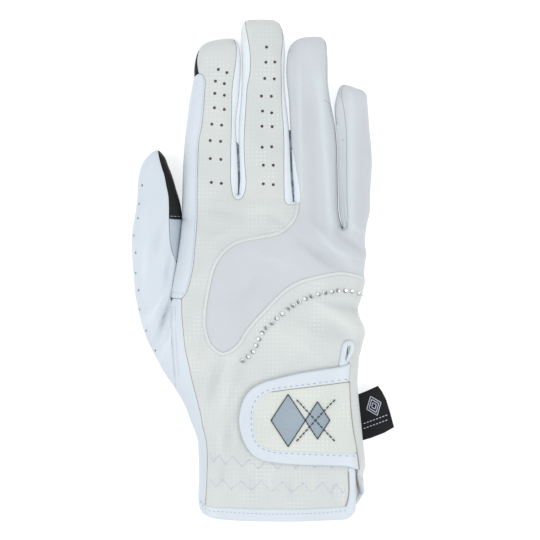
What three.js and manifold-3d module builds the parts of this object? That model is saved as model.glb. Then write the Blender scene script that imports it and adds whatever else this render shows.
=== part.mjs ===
// A right-hand riding glove that lies palm down, with its fingers along +Y, its thumb at -X and the back
// of the hand up along +Z. It is hollow: every panel is a leather or stretch wall over room for the hand,
// and the panels meet at narrow seams. The closure tab crosses the slit at the wrist by the little finger.
// Millimetres. The origin is the middle of the glove's outline, on the surface that it rests on.
import * as THREE from "three";
import { mergeVertices } from "three/addons/utils/BufferGeometryUtils.js";
import Module from "manifold-3d";

const wasm = await Module();
wasm.setup();

// Driving sizes
const HAND_LENGTH = 150; // from the hem to the crotch between index and middle finger
const HAND_THICKNESS = 24;
const INDEX_WIDTH = 25.3;
const INDEX_LENGTH = 75.6; // fingers are measured from their crotch
const MIDDLE_WIDTH = 23.9;
const MIDDLE_LENGTH = 84.5;
const RING_WIDTH = 21.3;
const RING_LENGTH = 76.8;
const LITTLE_WIDTH = 14.8;
const LITTLE_LENGTH = 67.9;
const LITTLE_CROTCH_DROP = 14; // how far the little finger's crotch lies below the others
const FINGER_THICKNESS = 14;
const FINGER_GAP = 0.8;
const VALLEY_DEPTH = 3.2; // the back sinks between the knuckles, ahead of each crotch
const VALLEY_WIDTH = 4.5;
const VALLEY_LENGTH = 16;
const THUMB_WIDTH = 24;
const THUMB_LENGTH = 124; // from the wrist end of the thumb's base to its tip
const THUMB_BASE = 0.327 * HAND_LENGTH; // from the hem to the wrist end of the thumb's base
const THUMB_THICKNESS = 17;

// Walls, seams and layers
const LEATHER = 1.2;
const SEAM_GAP = 0.3; // between any two pieces
const PALM_SEAM_HEIGHT = 5; // the palm is sewn to the other panels at this height
const WEB_SHOW = 1.7; // how far the side walls between the fingers reach past the crotch
const RING_WEB_SHOW = 2.6; // and the one beside the ring finger
const CROTCH_BEND = [-0.86, -0.45, 0, 0.45, 0.86]; // points round a crotch, from side to side
const WEB_DEPTH = 1.5; // the crotch lies this much past the fingers' root line
const PUNCH_DIAMETER = 1.3;
const TOUCH_PATCH_LENGTH = 19; // the index fingertip's patch reaches this far back from the tip

// Closure tab
const TAB_LENGTH = 52.4;
const TAB_WIDTH = 50; // at the sewn end
const TAB_THICKNESS = 1.6;
const TAB_BORDER = 6.8;
const TAB_CENTRE = 49; // from the hem to the middle of the tab's sewn end
const TAB_ROOT = 0.894; // where the tab is sewn on, as a share of the hand's width
const FASTENER_LENGTH = 30;
const FASTENER_WIDTH = 24;
const FASTENER_THICKNESS = 0.9;

// Hem, slit, label and stones
const HEM_BAND = 5;
const BINDING_LEATHER = 0.9;
const SLIT_LENGTH = 80; // from the hem
const SLIT_WIDTH = 0.9; // at its closed end
const SLIT_MOUTH = 4; // at the hem
const SLIT_BORDER = 2.8;
const LABEL_WIDTH = 21.5;
const LABEL_REACH = 13.4;
const LABEL_THICKNESS = 0.9;
const LABEL_CENTRE = 48; // from the hem
const LABEL_HEIGHT = 7.6;
const LABEL_ROOT = 0.935; // its place on the hand's side, as a share of the hand's width
const STONE_COUNT = 23;
const STONE_DIAMETER = 2.2;
const STONE_HEIGHT = 1;
const STONE_TABLE = 0.56; // its flat top, as a share of its diameter
const STONE_FACETS = 8;

// How finely the surfaces are cut
const PUNCH_SIDES = 6;
const HAND_SIDES = 20;
const FINGER_SIDES = 12;
const THUMB_SIDES = 12;
const CURVE_STEP = 7;
const HAND_POWER = 3; // 2 is an ellipse, and more is squarer
const FINGER_POWER = 2.5;
const UNDER_POWER = 4.5; // the side that rests is flatter
const WIDEST_AT = 0.44; // of a section's thickness
const BEYOND = 40; // cutting shapes reach this far past the glove

const HAND_WIDTH = INDEX_WIDTH + MIDDLE_WIDTH + RING_WIDTH + LITTLE_WIDTH + 3 * FINGER_GAP;
const LITTLE_ROOT = HAND_LENGTH - LITTLE_CROTCH_DROP;

// Outlines of the digits, a row for each section from root to tip. "at" is a share of the digit's length,
// left and right are shares of its width from its left root corner, and high and low are shares of its
// thickness. The shows are how much of the side walls is seen from above beside each edge, as shares of the
// width.
const INDEX_ROWS = [
  { at: -0.3, left: 0.04, right: 0.96, high: 1.2, low: 0.05, leftShow: 0.26, rightShow: 0.1 },
  { at: 0, left: 0, right: 1, high: 1.2, low: 0, leftShow: 0.26, rightShow: 0.1 },
  { at: 0.2, left: 0.01, right: 0.99, high: 1.1, low: 0, leftShow: 0.27, rightShow: 0.11 },
  { at: 0.39, left: 0.05, right: 0.96, high: 1.03, low: 0, leftShow: 0.28, rightShow: 0.08 },
  { at: 0.59, left: 0.12, right: 0.99, high: 1, low: 0, leftShow: 0.26, rightShow: 0.1 },
  { at: 0.74, left: 0.19, right: 1.03, high: 1, low: 0, leftShow: 0.22, rightShow: 0.11 },
  { at: 0.85, left: 0.21, right: 1.05, high: 0.97, low: 0, leftShow: 0.05, rightShow: 0.08 },
  { at: 0.95, left: 0.32, right: 1.03, high: 0.84, low: 0.04, leftShow: 0.04, rightShow: 0.06 },
  { at: 0.98, left: 0.45, right: 0.98, high: 0.7, low: 0.12, leftShow: 0.02, rightShow: 0.05 },
  { at: 1, left: 0.6, right: 0.9, high: 0.52, low: 0.25, leftShow: 0.02, rightShow: 0.04 },
];
const MIDDLE_ROWS = [
  { at: -0.3, left: 0.03, right: 0.97, high: 1.25, low: 0.05, leftShow: 0.12, rightShow: 0.13 },
  { at: 0, left: 0, right: 1, high: 1.22, low: 0, leftShow: 0.12, rightShow: 0.13 },
  { at: 0.18, left: 0, right: 1, high: 1.12, low: 0, leftShow: 0.1, rightShow: 0.13 },
  { at: 0.34, left: -0.01, right: 0.98, high: 1.04, low: 0, leftShow: 0.11, rightShow: 0.115 },
  { at: 0.49, left: 0.01, right: 0.94, high: 1, low: 0, leftShow: 0.11, rightShow: 0.1 },
  { at: 0.62, left: 0.05, right: 0.89, high: 1, low: 0, leftShow: 0.105, rightShow: 0.07 },
  { at: 0.74, left: 0.05, right: 0.89, high: 1, low: 0, leftShow: 0.17, rightShow: 0.08 },
  { at: 0.85, left: 0.03, right: 0.92, high: 0.98, low: 0, leftShow: 0.15, rightShow: 0.08 },
  { at: 0.955, left: 0.04, right: 0.84, high: 0.82, low: 0.05, leftShow: 0.06, rightShow: 0.05 },
  { at: 0.982, left: 0.07, right: 0.75, high: 0.7, low: 0.12, leftShow: 0.04, rightShow: 0.04 },
  { at: 1, left: 0.17, right: 0.6, high: 0.52, low: 0.25, leftShow: 0.03, rightShow: 0.03 },
];
const RING_ROWS = [
  { at: -0.3, left: 0.03, right: 0.97, high: 1.2, low: 0.05, leftShow: 0.17, rightShow: 0.07 },
  { at: 0, left: 0, right: 1, high: 1.2, low: 0, leftShow: 0.17, rightShow: 0.07 },
  { at: 0.15, left: 0, right: 1, high: 1.12, low: 0, leftShow: 0.12, rightShow: 0.07 },
  { at: 0.31, left: -0.01, right: 0.99, high: 1.05, low: 0, leftShow: 0.1, rightShow: 0.07 },
  { at: 0.55, left: -0.07, right: 0.88, high: 1, low: 0, leftShow: 0.09, rightShow: 0.07 },
  { at: 0.67, left: -0.1, right: 0.8, high: 1, low: 0, leftShow: 0.09, rightShow: 0.07 },
  { at: 0.8, left: -0.12, right: 0.79, high: 0.99, low: 0, leftShow: 0.08, rightShow: 0.07 },
  { at: 0.89, left: -0.1, right: 0.77, high: 0.95, low: 0.01, leftShow: 0.06, rightShow: 0.07 },
  { at: 0.945, left: -0.03, right: 0.75, high: 0.85, low: 0.04, leftShow: 0.05, rightShow: 0.07 },
  { at: 0.98, left: 0.08, right: 0.71, high: 0.7, low: 0.12, leftShow: 0.04, rightShow: 0.07 },
  { at: 1, left: 0.22, right: 0.6, high: 0.52, low: 0.25, leftShow: 0.03, rightShow: 0.07 },
];
const LITTLE_ROWS = [
  { at: -0.25, left: 0.1, right: 0.86, high: 1.2, low: 0.05, leftShow: 0.25 },
  { at: 0, left: 0, right: 0.96, high: 1.18, low: 0, leftShow: 0.25 },
  { at: 0.38, left: 0.02, right: 1.02, high: 1, low: 0, leftShow: 0.2 },
  { at: 0.55, left: 0.01, right: 1.02, high: 0.96, low: 0, leftShow: 0.2 },
  { at: 0.69, left: -0.04, right: 0.98, high: 0.95, low: 0, leftShow: 0.21 },
  { at: 0.83, left: -0.14, right: 0.92, high: 0.94, low: 0, leftShow: 0.2 },
  { at: 0.92, left: -0.1, right: 0.89, high: 0.88, low: 0.01, leftShow: 0.12 },
  { at: 0.96, left: -0.04, right: 0.76, high: 0.78, low: 0.06, leftShow: 0.06 },
  { at: 0.985, left: 0.01, right: 0.52, high: 0.66, low: 0.14, leftShow: 0.04 },
  { at: 1, left: 0.1, right: 0.3, high: 0.52, low: 0.25, leftShow: 0.03 },
];
const THUMB_ROWS = [
  { at: 0.06, left: 0.02, right: 0.4, high: 0.9, low: 0.08 },
  { at: 0.19, left: -0.45, right: 0.36, high: 1.02, low: 0 },
  { at: 0.31, left: -0.75, right: 0.24, high: 1.03, low: 0 },
  { at: 0.4, left: -0.89, right: 0.1, high: 1.02, low: 0 },
  { at: 0.58, left: -1, right: 0, high: 0.97, low: 0 },
  { at: 0.67, left: -1.02, right: -0.01, high: 0.95, low: 0 },
  { at: 0.74, left: -0.95, right: -0.04, high: 0.93, low: 0 },
  { at: 0.86, left: -0.9, right: -0.16, high: 0.9, low: 0 },
  { at: 0.91, left: -0.87, right: -0.24, high: 0.86, low: 0.01 },
  { at: 0.96, left: -0.77, right: -0.36, high: 0.76, low: 0.05 },
  { at: 1, left: -0.61, right: -0.47, high: 0.55, low: 0.22 },
];

// The hand from the hem to the little finger's crotch, a row for each section: y is a share of that length,
// left and right are shares of the hand's width, and high and low are shares of its thickness.
const HAND_ROWS = [
  { y: -0.028, left: 0.094, right: 0.949, high: 0.96, low: 0.06 },
  { y: 0.05, left: 0.088, right: 0.957, high: 0.96, low: 0.06 },
  { y: 0.172, left: 0.086, right: 0.955, high: 0.95, low: 0.03 },
  { y: 0.258, left: 0.078, right: 0.944, high: 0.94, low: 0 },
  { y: 0.362, left: 0.024, right: 0.928, high: 0.93, low: 0 },
  { y: 0.464, left: -0.056, right: 0.918, high: 0.94, low: 0 },
  { y: 0.602, left: -0.064, right: 0.957, high: 0.97, low: 0 },
  { y: 0.654, left: -0.064, right: 0.968, high: 0.98, low: 0 },
  { y: 0.722, left: -0.064, right: 0.935, high: 1, low: 0 },
  { y: 0.768, left: -0.061, right: 0.953, high: 1, low: 0 },
  { y: 0.915, left: -0.024, right: 0.979, high: 0.98, low: 0 },
  { y: 0.977, left: -0.008, right: 0.973, high: 0.94, low: 0 },
];
// Past that crotch the hand ends at the ring finger's side. y is a share of the way to the other crotches.
const KNUCKLE_ROWS = [
  { y: 0.18, left: -0.003, high: 0.89, low: 0 },
  { y: 0.6, left: 0, high: 0.79, low: 0 },
  { y: 0.88, left: 0.002, high: 0.69, low: 0.01 },
  { y: 1, left: 0.008, high: 0.6, low: 0.04 },
];

// Soft folds raised or pressed into the back. x and y are shares of the hand's width and length, turn is in
// degrees from the x axis, and long, wide and rise are shares of the hand's length, width and thickness.
const FOLDS = [
  { x: 0.88, y: 0.655, turn: -28, long: 0.16, wide: 0.07, rise: -0.07 },
  { x: 0.82, y: 0.59, turn: -22, long: 0.2, wide: 0.08, rise: 0.05 },
  { x: 0.84, y: 0.9, turn: -35, long: 0.16, wide: 0.05, rise: 0.045 },
  { x: 0.9, y: 0.83, turn: -32, long: 0.14, wide: 0.05, rise: -0.05 },
  { x: 0.25, y: 0.26, turn: 80, long: 0.2, wide: 0.09, rise: -0.05 },
  { x: 0.5, y: 0.12, turn: 88, long: 0.14, wide: 0.08, rise: -0.04 },
  { x: -0.12, y: 0.64, turn: 72, long: 0.1, wide: 0.05, rise: -0.1 },
];
// The stretch fabric sinks between two ridges along the ring finger, and beside one along the little finger.
// across and wide are shares of the finger's width, from and to of its length, and rise of its thickness.
const FINGER_DENTS = [
  { finger: "ring", across: 0.42, wide: 0.2, from: -0.2, to: 0.62, rise: -0.1 },
  { finger: "little", across: 0.82, wide: 0.22, from: -0.1, to: 0.62, rise: -0.09 },
];

// Seams on the back of the hand, as shares of the hand's width and length
const PALM_WRAP_SEAM = [
  { x: 0.118, y: -0.06 },
  { x: 0.118, y: 0.056 },
  { x: 0.126, y: 0.12 },
  { x: 0.125, y: 0.24 },
  { x: 0.104, y: 0.295 },
  { x: 0.078, y: 0.374 },
  { x: 0.048, y: 0.44 },
  { x: 0.014, y: 0.53 },
  { x: -0.005, y: 0.636 },
  { x: -0.007, y: 0.69 },
];
const STRIP_SEAM = [
  { x: -0.007, y: 0.69 },
  { x: 0.019, y: 0.711 },
  { x: 0.036, y: 0.739 },
  { x: 0.052, y: 0.784 },
  { x: 0.065, y: 0.858 },
  { x: 0.074, y: 0.93 },
];
const DROP_SEAM = [
  { x: 0.612, y: 0.961 },
  { x: 0.591, y: 0.927 },
  { x: 0.533, y: 0.896 },
  { x: 0.42, y: 0.877 },
  { x: 0.321, y: 0.866 },
  { x: 0.249, y: 0.846 },
  { x: 0.187, y: 0.805 },
  { x: 0.147, y: 0.73 },
  { x: 0.126, y: 0.661 },
  { x: 0.131, y: 0.59 },
  { x: 0.164, y: 0.543 },
  { x: 0.219, y: 0.525 },
  { x: 0.265, y: 0.538 },
  { x: 0.328, y: 0.587 },
  { x: 0.417, y: 0.649 },
  { x: 0.533, y: 0.717 },
  { x: 0.669, y: 0.756 },
  { x: 0.819, y: 0.774 },
  { x: 0.921, y: 0.766 },
  { x: 1.06, y: 0.726 },
];
const DROP_START = 0.1; // where it leaves the crotch, as a share of the ring finger's width
const STONE_LINE = [
  { x: 0.316, y: 0.5 },
  { x: 0.371, y: 0.527 },
  { x: 0.414, y: 0.58 },
  { x: 0.48, y: 0.621 },
  { x: 0.584, y: 0.67 },
  { x: 0.688, y: 0.7 },
  { x: 0.797, y: 0.714 },
  { x: 0.887, y: 0.715 },
  { x: 0.946, y: 0.703 },
];
// The thumb is sewn on along this line, from the gap beside the index finger to the wrist
const THUMB_SEAM = [
  { x: -0.016, y: 1.2 },
  { x: -0.014, y: 0.95 },
  { x: -0.016, y: 0.886 },
  { x: -0.032, y: 0.83 },
  { x: -0.053, y: 0.764 },
  { x: -0.069, y: 0.696 },
  { x: -0.072, y: 0.64 },
  { x: -0.072, y: 0.546 },
  { x: -0.069, y: 0.493 },
  { x: -0.075, y: 0.43 },
  { x: -0.12, y: 0.39 },
  { x: -0.3, y: 0.36 },
];
// The thumb's pad is sewn in along this line, from the tip to the thumb seam: shares of width and length
const PAD_SEAM = [
  { x: -0.5, at: 1.05 },
  { x: -0.475, at: 0.98 },
  { x: -0.42, at: 0.93 },
  { x: -0.36, at: 0.9 },
  { x: -0.3, at: 0.86 },
  { x: -0.27, at: 0.82 },
  { x: -0.27, at: 0.73 },
  { x: -0.22, at: 0.65 },
  { x: -0.13, at: 0.575 },
];
const PAD_SPLIT_AT = 0.74; // below this share of the thumb's length the pad is stretch fabric
const STRIP_END_Y = 0.69; // the side strip ends here, as a share of the hand's length
const STRIP_TOP_AT = 0.78; // and here, as a share of the index finger's length
// The hem's line, from the thumb side to the slit and round the little-finger side
const HEM_LINE = [
  { x: -0.1, y: 0.13 },
  { x: 0.083, y: 0.058 },
  { x: 0.108, y: 0.034 },
  { x: 0.16, y: 0.021 },
  { x: 0.26, y: 0.013 },
  { x: 0.46, y: 0.009 },
  { x: 0.755, y: 0.014 },
  { x: 0.86, y: 0.024 },
  { x: 0.91, y: 0.05 },
  { x: 0.955, y: 0.086 },
  { x: 1.1, y: 0.15 },
];
// The closure tab's edge from the sewn end round its free end: along is a share of its length, and across of
// its width
const TAB_EDGE = [
  { along: -0.036, across: 0.5 },
  { along: -0.26, across: 0.44 },
  { along: -0.464, across: 0.404 },
  { along: -0.658, across: 0.356 },
  { along: -0.794, across: 0.314 },
  { along: -0.897, across: 0.248 },
  { along: -0.96, across: 0.15 },
  { along: -1, across: -0.02 },
  { along: -0.985, across: -0.156 },
  { along: -0.943, across: -0.264 },
  { along: -0.875, across: -0.355 },
  { along: -0.78, across: -0.41 },
  { along: -0.658, across: -0.432 },
  { along: -0.429, across: -0.45 },
  { along: -0.202, across: -0.456 },
  { along: 0.036, across: -0.5 },
];
// The label's corners: out is a share of its reach, up of its width
const LABEL_CORNERS = [
  { out: -0.3, up: 0.5 },
  { out: 0.66, up: 0.68 },
  { out: 1.25, up: -0.26 },
  { out: -0.3, up: -0.58 },
];
// The slit from its closed end to past the hem: wide is the share of its mouth that it has opened by
const SLIT_LINE = [
  { x: 0.877, y: 1, wide: 0 },
  { x: 0.872, y: 0.72, wide: 0 },
  { x: 0.882, y: 0.42, wide: 0 },
  { x: 0.89, y: 0.29, wide: 0.1 },
  { x: 0.928, y: 0.14, wide: 0.8 },
  { x: 0.945, y: -0.12, wide: 1.1 },
];
// Ventilation holes: pairs across the index and middle fingers, and slanting ones in the thumb's outer side
const INDEX_PUNCHES = [
  { at: 0.79, first: 0.647, second: 0.807 },
  { at: 0.722, first: 0.594, second: 0.758 },
  { at: 0.648, first: 0.583, second: 0.76 },
  { at: 0.561, first: 0.577, second: 0.758 },
  { at: 0.461, first: 0.527, second: 0.708 },
  { at: 0.36, first: 0.498, second: 0.69 },
  { at: 0.249, first: 0.499, second: 0.694 },
  { at: 0.101, first: 0.52, second: 0.705 },
];
const MIDDLE_PUNCHES = [
  { at: 0.841, first: 0.535 },
  { at: 0.759, first: 0.521, second: 0.7 },
  { at: 0.667, first: 0.5, second: 0.688 },
  { at: 0.57, first: 0.435, second: 0.629 },
  { at: 0.483, first: 0.457, second: 0.635 },
  { at: 0.402, first: 0.445, second: 0.645 },
  { at: 0.289, first: 0.449, second: 0.635 },
  { at: 0.188, first: 0.473, second: 0.666 },
  { at: 0.083, first: 0.473, second: 0.666 },
];
const THUMB_PUNCHES = [
  { at: 0.866, lean: 50 },
  { at: 0.8, lean: 72 },
  { at: 0.742, lean: 52 },
  { at: 0.677, lean: 74 },
  { at: 0.612, lean: 52 },
  { at: 0.536, lean: 72 },
  { at: 0.47, lean: 60 },
  { at: 0.4, lean: 66 },
];

const fingers = {
  index: { x: 0, root: HAND_LENGTH, width: INDEX_WIDTH, length: INDEX_LENGTH, rows: INDEX_ROWS },
  middle: {
    x: INDEX_WIDTH + FINGER_GAP,
    root: HAND_LENGTH,
    width: MIDDLE_WIDTH,
    length: MIDDLE_LENGTH,
    rows: MIDDLE_ROWS,
  },
  ring: {
    x: INDEX_WIDTH + MIDDLE_WIDTH + 2 * FINGER_GAP,
    root: HAND_LENGTH,
    width: RING_WIDTH,
    length: RING_LENGTH,
    rows: RING_ROWS,
  },
  little: {
    x: HAND_WIDTH - LITTLE_WIDTH,
    root: LITTLE_ROOT,
    width: LITTLE_WIDTH,
    length: LITTLE_LENGTH,
    rows: LITTLE_ROWS,
  },
};
const thumb = { x: 0, root: THUMB_BASE, width: THUMB_WIDTH, length: THUMB_LENGTH, rows: THUMB_ROWS };
for (const finger of Object.values(fingers)) finger.thickness = FINGER_THICKNESS;
thumb.thickness = THUMB_THICKNESS;
const crotches = [fingers.middle, fingers.ring, fingers.little].map((finger) => ({
  x: finger.x - FINGER_GAP / 2,
  y: finger.root,
}));

// Small helpers

const spot = (x, y) => new THREE.Vector2(x, y);
const onHand = (point) => spot(point.x * HAND_WIDTH, point.y * HAND_LENGTH);

function smooth(points, step = CURVE_STEP) {
  const curve = new THREE.SplineCurve(points);
  return curve.getSpacedPoints(Math.max(points.length, Math.ceil(curve.getLength() / step)));
}

// A value of a digit's table at any share of its length
function rowValue(digit, column, share) {
  const rows = digit.rows;
  const above = Math.min(Math.max(rows.findIndex((row) => row.at >= share), 1), rows.length - 1);
  const before = rows[above - 1];
  const after = rows[above];
  const t = THREE.MathUtils.clamp((share - before.at) / (after.at - before.at), 0, 1);
  return THREE.MathUtils.lerp(before[column], after[column], t);
}

const onDigit = (digit, across, share) =>
  spot(digit.x + across * digit.width, digit.root + share * digit.length);

// The height that folds and dents add at a place on the back
function foldHeight(x, y) {
  let height = 0;
  for (const fold of FOLDS) {
    const turn = THREE.MathUtils.degToRad(fold.turn);
    const dx = x - fold.x * HAND_WIDTH;
    const dy = y - fold.y * HAND_LENGTH;
    const along = (dx * Math.cos(turn) + dy * Math.sin(turn)) / (fold.long * HAND_LENGTH);
    const across = (dy * Math.cos(turn) - dx * Math.sin(turn)) / (fold.wide * HAND_WIDTH);
    height += fold.rise * HAND_THICKNESS * Math.exp(-along * along - across * across);
  }
  for (const dent of FINGER_DENTS) {
    const finger = fingers[dent.finger];
    const at = (y - finger.root) / finger.length;
    const across = ((x - finger.x) / finger.width - dent.across) / dent.wide;
    const inside = THREE.MathUtils.smoothstep(at, dent.from, dent.from + 0.25);
    const ending = 1 - THREE.MathUtils.smoothstep(at, dent.to - 0.25, dent.to);
    height += dent.rise * finger.thickness * inside * ending * Math.exp(-across * across);
  }
  return height;
}

// How far the back of the hand sinks ahead of the crotches
function valleyDepth(x, y) {
  let depth = 0;
  for (const crotch of crotches) {
    const across = (x - crotch.x) / VALLEY_WIDTH;
    const along = Math.min(y - crotch.y, 0) / VALLEY_LENGTH;
    depth += VALLEY_DEPTH * Math.exp(-across * across - along * along);
  }
  return depth;
}

// A manifold solid from a three.js geometry
function solidOf(geometry) {
  geometry.deleteAttribute("normal");
  geometry.deleteAttribute("uv");
  const merged = mergeVertices(geometry, 1e-4);
  const mesh = new wasm.Mesh({
    numProp: 3,
    vertProperties: new Float32Array(merged.attributes.position.array),
    triVerts: new Uint32Array(merged.index.array),
  });
  return new wasm.Manifold(mesh);
}

// One ring of a section: an arched top over a flatter underside, moved outwards by offset
function ringPoints(section, sides, power, offset) {
  const half = (section.right - section.left) / 2 + offset;
  const middle = (section.right + section.left) / 2;
  const top = section.top + offset;
  const bottom = section.bottom - offset;
  const widest = bottom + (top - bottom) * WIDEST_AT;
  const peak = Math.sin(Math.PI / 2 - Math.PI / sides);
  const reach = Math.cos(Math.PI / sides);
  const points = [];
  for (let k = 0; k < sides; k++) {
    const angle = ((k + 0.5) / sides) * 2 * Math.PI;
    const over = Math.sin(angle) > 0;
    const bend = 2 / (over ? power : UNDER_POWER);
    const side = Math.min(Math.abs(Math.cos(angle)) / reach, 1);
    const x = middle + half * Math.sign(Math.cos(angle)) * side ** (2 / power);
    const lift = Math.min(Math.abs(Math.sin(angle)) / peak, 1) ** bend;
    const z = over ? widest + (top - widest) * lift : widest - (widest - bottom) * lift;
    const bump = foldHeight(x, section.y) - (section.onHand ? valleyDepth(x, section.y) : 0);
    points.push([x, section.y, over ? z + bump * lift : z]);
  }
  return points;
}

// A closed solid through sections that follow each other along y
function loft(sections, sides, power, offset) {
  const last = sections.length - 1;
  const positions = sections.flatMap((section) => ringPoints(section, sides, power, offset).flat());
  const faces = [];
  for (let r = 0; r < last; r++)
    for (let k = 0; k < sides; k++) {
      const a = r * sides + k;
      const b = r * sides + ((k + 1) % sides);
      faces.push(a, a + sides, b, b, a + sides, b + sides);
    }
  for (const [r, flip] of [[0, false], [last, true]]) {
    const section = sections[r];
    const centre = positions.length / 3;
    positions.push((section.left + section.right) / 2, section.y, (section.top + section.bottom) / 2);
    for (let k = 0; k < sides; k++) {
      const a = r * sides + k;
      const b = r * sides + ((k + 1) % sides);
      faces.push(...(flip ? [centre, b, a] : [centre, a, b]));
    }
  }
  const geometry = new THREE.BufferGeometry();
  geometry.setAttribute("position", new THREE.Float32BufferAttribute(positions, 3));
  geometry.setIndex(faces);
  return solidOf(geometry);
}

// A straight-sided solid over an outline, from one height to another
function prism(outline, low, high) {
  const shape = new THREE.Shape(outline);
  const geometry = new THREE.ExtrudeGeometry(shape, { depth: high - low, bevelEnabled: false });
  return solidOf(geometry.translate(0, 0, low));
}

// The points of a line moved to its left
function beside(line, distance) {
  return line.map((point, i) => {
    const before = line[Math.max(i - 1, 0)];
    const after = line[Math.min(i + 1, line.length - 1)];
    const along = after.clone().sub(before).normalize();
    return spot(point.x - along.y * distance, point.y + along.x * distance);
  });
}

// A thin upright wall along a line, which cuts a seam
const ribbon = (line, low, high) =>
  prism([...beside(line, SEAM_GAP / 2), ...beside(line, -SEAM_GAP / 2).reverse()], low, high);

const rectangle = (left, low, right, high) => [
  spot(left, low),
  spot(right, low),
  spot(right, high),
  spot(left, high),
];

// Sections of the digits and the hand: offset moves their skin outwards, and the tips with it

const digitSections = (digit, offset) =>
  digit.rows.map((row) => ({
    y: digit.root + row.at * digit.length + offset * THREE.MathUtils.smoothstep(row.at, 0.5, 0.95),
    left: digit.x + row.left * digit.width,
    right: digit.x + row.right * digit.width,
    top: row.high * digit.thickness,
    bottom: row.low * digit.thickness,
  }));

const handSections = (offset) =>
  [
    ...HAND_ROWS.map((row) => ({ ...row, y: row.y * LITTLE_ROOT, right: row.right * HAND_WIDTH })),
    ...KNUCKLE_ROWS.map((row) => ({
      ...row,
      y: THREE.MathUtils.lerp(LITTLE_ROOT, HAND_LENGTH + WEB_DEPTH, row.y) + offset,
      right: fingers.ring.x + fingers.ring.width,
    })),
  ].map((row) => ({
    onHand: true,
    y: row.y,
    left: row.left * HAND_WIDTH,
    right: row.right,
    top: row.high * HAND_THICKNESS,
    bottom: row.low * HAND_THICKNESS,
  }));

const handBody = (offset) => loft(handSections(offset), HAND_SIDES, HAND_POWER, offset);
const digitBody = (digit, sides, offset) => loft(digitSections(digit, offset), sides, FINGER_POWER, offset);
const wholeBody = (offset) =>
  Object.values(fingers)
    .map((finger) => digitBody(finger, FINGER_SIDES, offset))
    .reduce((all, next) => all.add(next), handBody(offset))
    .add(digitBody(thumb, THUMB_SIDES, offset));

// Seam lines

const farTop = HAND_LENGTH + MIDDLE_LENGTH + BEYOND;
const farRight = HAND_WIDTH + BEYOND;
const farLeft = -THUMB_WIDTH - BEYOND;
const farDown = -BEYOND;
const zTop = HAND_THICKNESS + BEYOND;
const zLow = -BEYOND;

// The seam along one side of a finger, from the root to past the tip
function legOf(finger, side) {
  const sign = side === "left" ? 1 : -1;
  const points = finger.rows
    .filter((row) => row.at > 0.1)
    .map((row) => onDigit(finger, row[side] + sign * row[side + "Show"], row.at));
  const tip = points[points.length - 1];
  return [...points, spot(tip.x, farTop)];
}

// The seam that runs down one finger, round the crotch and up the next
function crotchSeam(before, after, root, show) {
  const down = legOf(before, "right").reverse();
  const up = legOf(after, "left");
  const middle = (before.x + before.width + after.x) / 2;
  const spread = (up[0].x - down[down.length - 1].x) / 2;
  const bend = CROTCH_BEND.map(
    (share) => spot(middle + share * spread, root - show * Math.sqrt(1 - share * share)),
  );
  const curve = smooth([...down.slice(1), ...bend, ...up.slice(0, -1)]);
  return [down[0], ...curve, up[up.length - 1]];
}

const wrapSeam = smooth(PALM_WRAP_SEAM.map(onHand));
const besideIndex = (row) => onDigit(fingers.index, row.left + row.leftShow, row.at);
const stripTop = besideIndex({
  at: STRIP_TOP_AT,
  left: rowValue(fingers.index, "left", STRIP_TOP_AT),
  leftShow: rowValue(fingers.index, "leftShow", STRIP_TOP_AT),
});
const stripSeam = smooth([
  ...STRIP_SEAM.map(onHand),
  ...INDEX_ROWS.filter((row) => row.at >= 0 && row.at < STRIP_TOP_AT).map(besideIndex),
  stripTop,
]);
const sliverEdge = [stripTop, ...INDEX_ROWS.filter((row) => row.at > STRIP_TOP_AT).map(besideIndex)];
const patchEdge = [...sliverEdge, spot(sliverEdge[sliverEdge.length - 1].x, farTop)];
const indexMiddleSeam = crotchSeam(fingers.index, fingers.middle, HAND_LENGTH, WEB_SHOW);
const middleRingSeam = crotchSeam(fingers.middle, fingers.ring, HAND_LENGTH, RING_WEB_SHOW);
const ringLittleSeam = crotchSeam(fingers.ring, fingers.little, LITTLE_ROOT + WEB_DEPTH, WEB_SHOW);
// The drop seam starts on the seam round the middle and ring finger's crotch
const dropSide = fingers.ring.x + fingers.ring.width * DROP_START;
const dropStart = middleRingSeam
  .filter((point) => point.y < HAND_LENGTH)
  .reduce((best, point) => (Math.abs(point.x - dropSide) < Math.abs(best.x - dropSide) ? point : best));
const dropSeam = [dropStart, ...smooth(DROP_SEAM.map(onHand))];
const thumbSeam = smooth(THUMB_SEAM.map(onHand));
const padSeam = smooth(PAD_SEAM.map((point) => onDigit(thumb, point.x, point.at)));
const hemLine = HEM_LINE.map(onHand);

const splitAt = middleRingSeam.indexOf(dropStart);
const middleLeg = middleRingSeam.slice(0, splitAt + 1);
const ringLeg = middleRingSeam.slice(splitAt);
const stripEndY = STRIP_END_Y * HAND_LENGTH;

// Regions seen from above, each closed by points outside the glove
const backRegion = [
  ...wrapSeam,
  ...stripSeam,
  ...patchEdge,
  ...indexMiddleSeam,
  ...middleLeg,
  ...dropSeam.slice(1),
  spot(farRight, dropSeam[dropSeam.length - 1].y),
  spot(farRight, farDown),
  spot(wrapSeam[0].x, farDown),
];
const stretchRegion = [
  ...dropSeam.slice(1).reverse(),
  ...ringLeg,
  ...ringLittleSeam,
  spot(farRight, farTop),
  spot(farRight, dropSeam[dropSeam.length - 1].y),
];
const wrapRegion = [
  ...wrapSeam,
  spot(wrapSeam[wrapSeam.length - 1].x, stripEndY),
  spot(farLeft, stripEndY),
  spot(farLeft, farDown),
  spot(wrapSeam[0].x, farDown),
];
const stripRegion = [...stripSeam, spot(farLeft, stripTop.y), spot(farLeft, stripEndY)];
const thumbRegion = [
  ...thumbSeam,
  spot(farLeft, thumbSeam[thumbSeam.length - 1].y),
  spot(farLeft, thumbSeam[0].y),
];
const padRegion = [...padSeam, spot(farRight, padSeam[padSeam.length - 1].y), spot(farRight, padSeam[0].y)];

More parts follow.
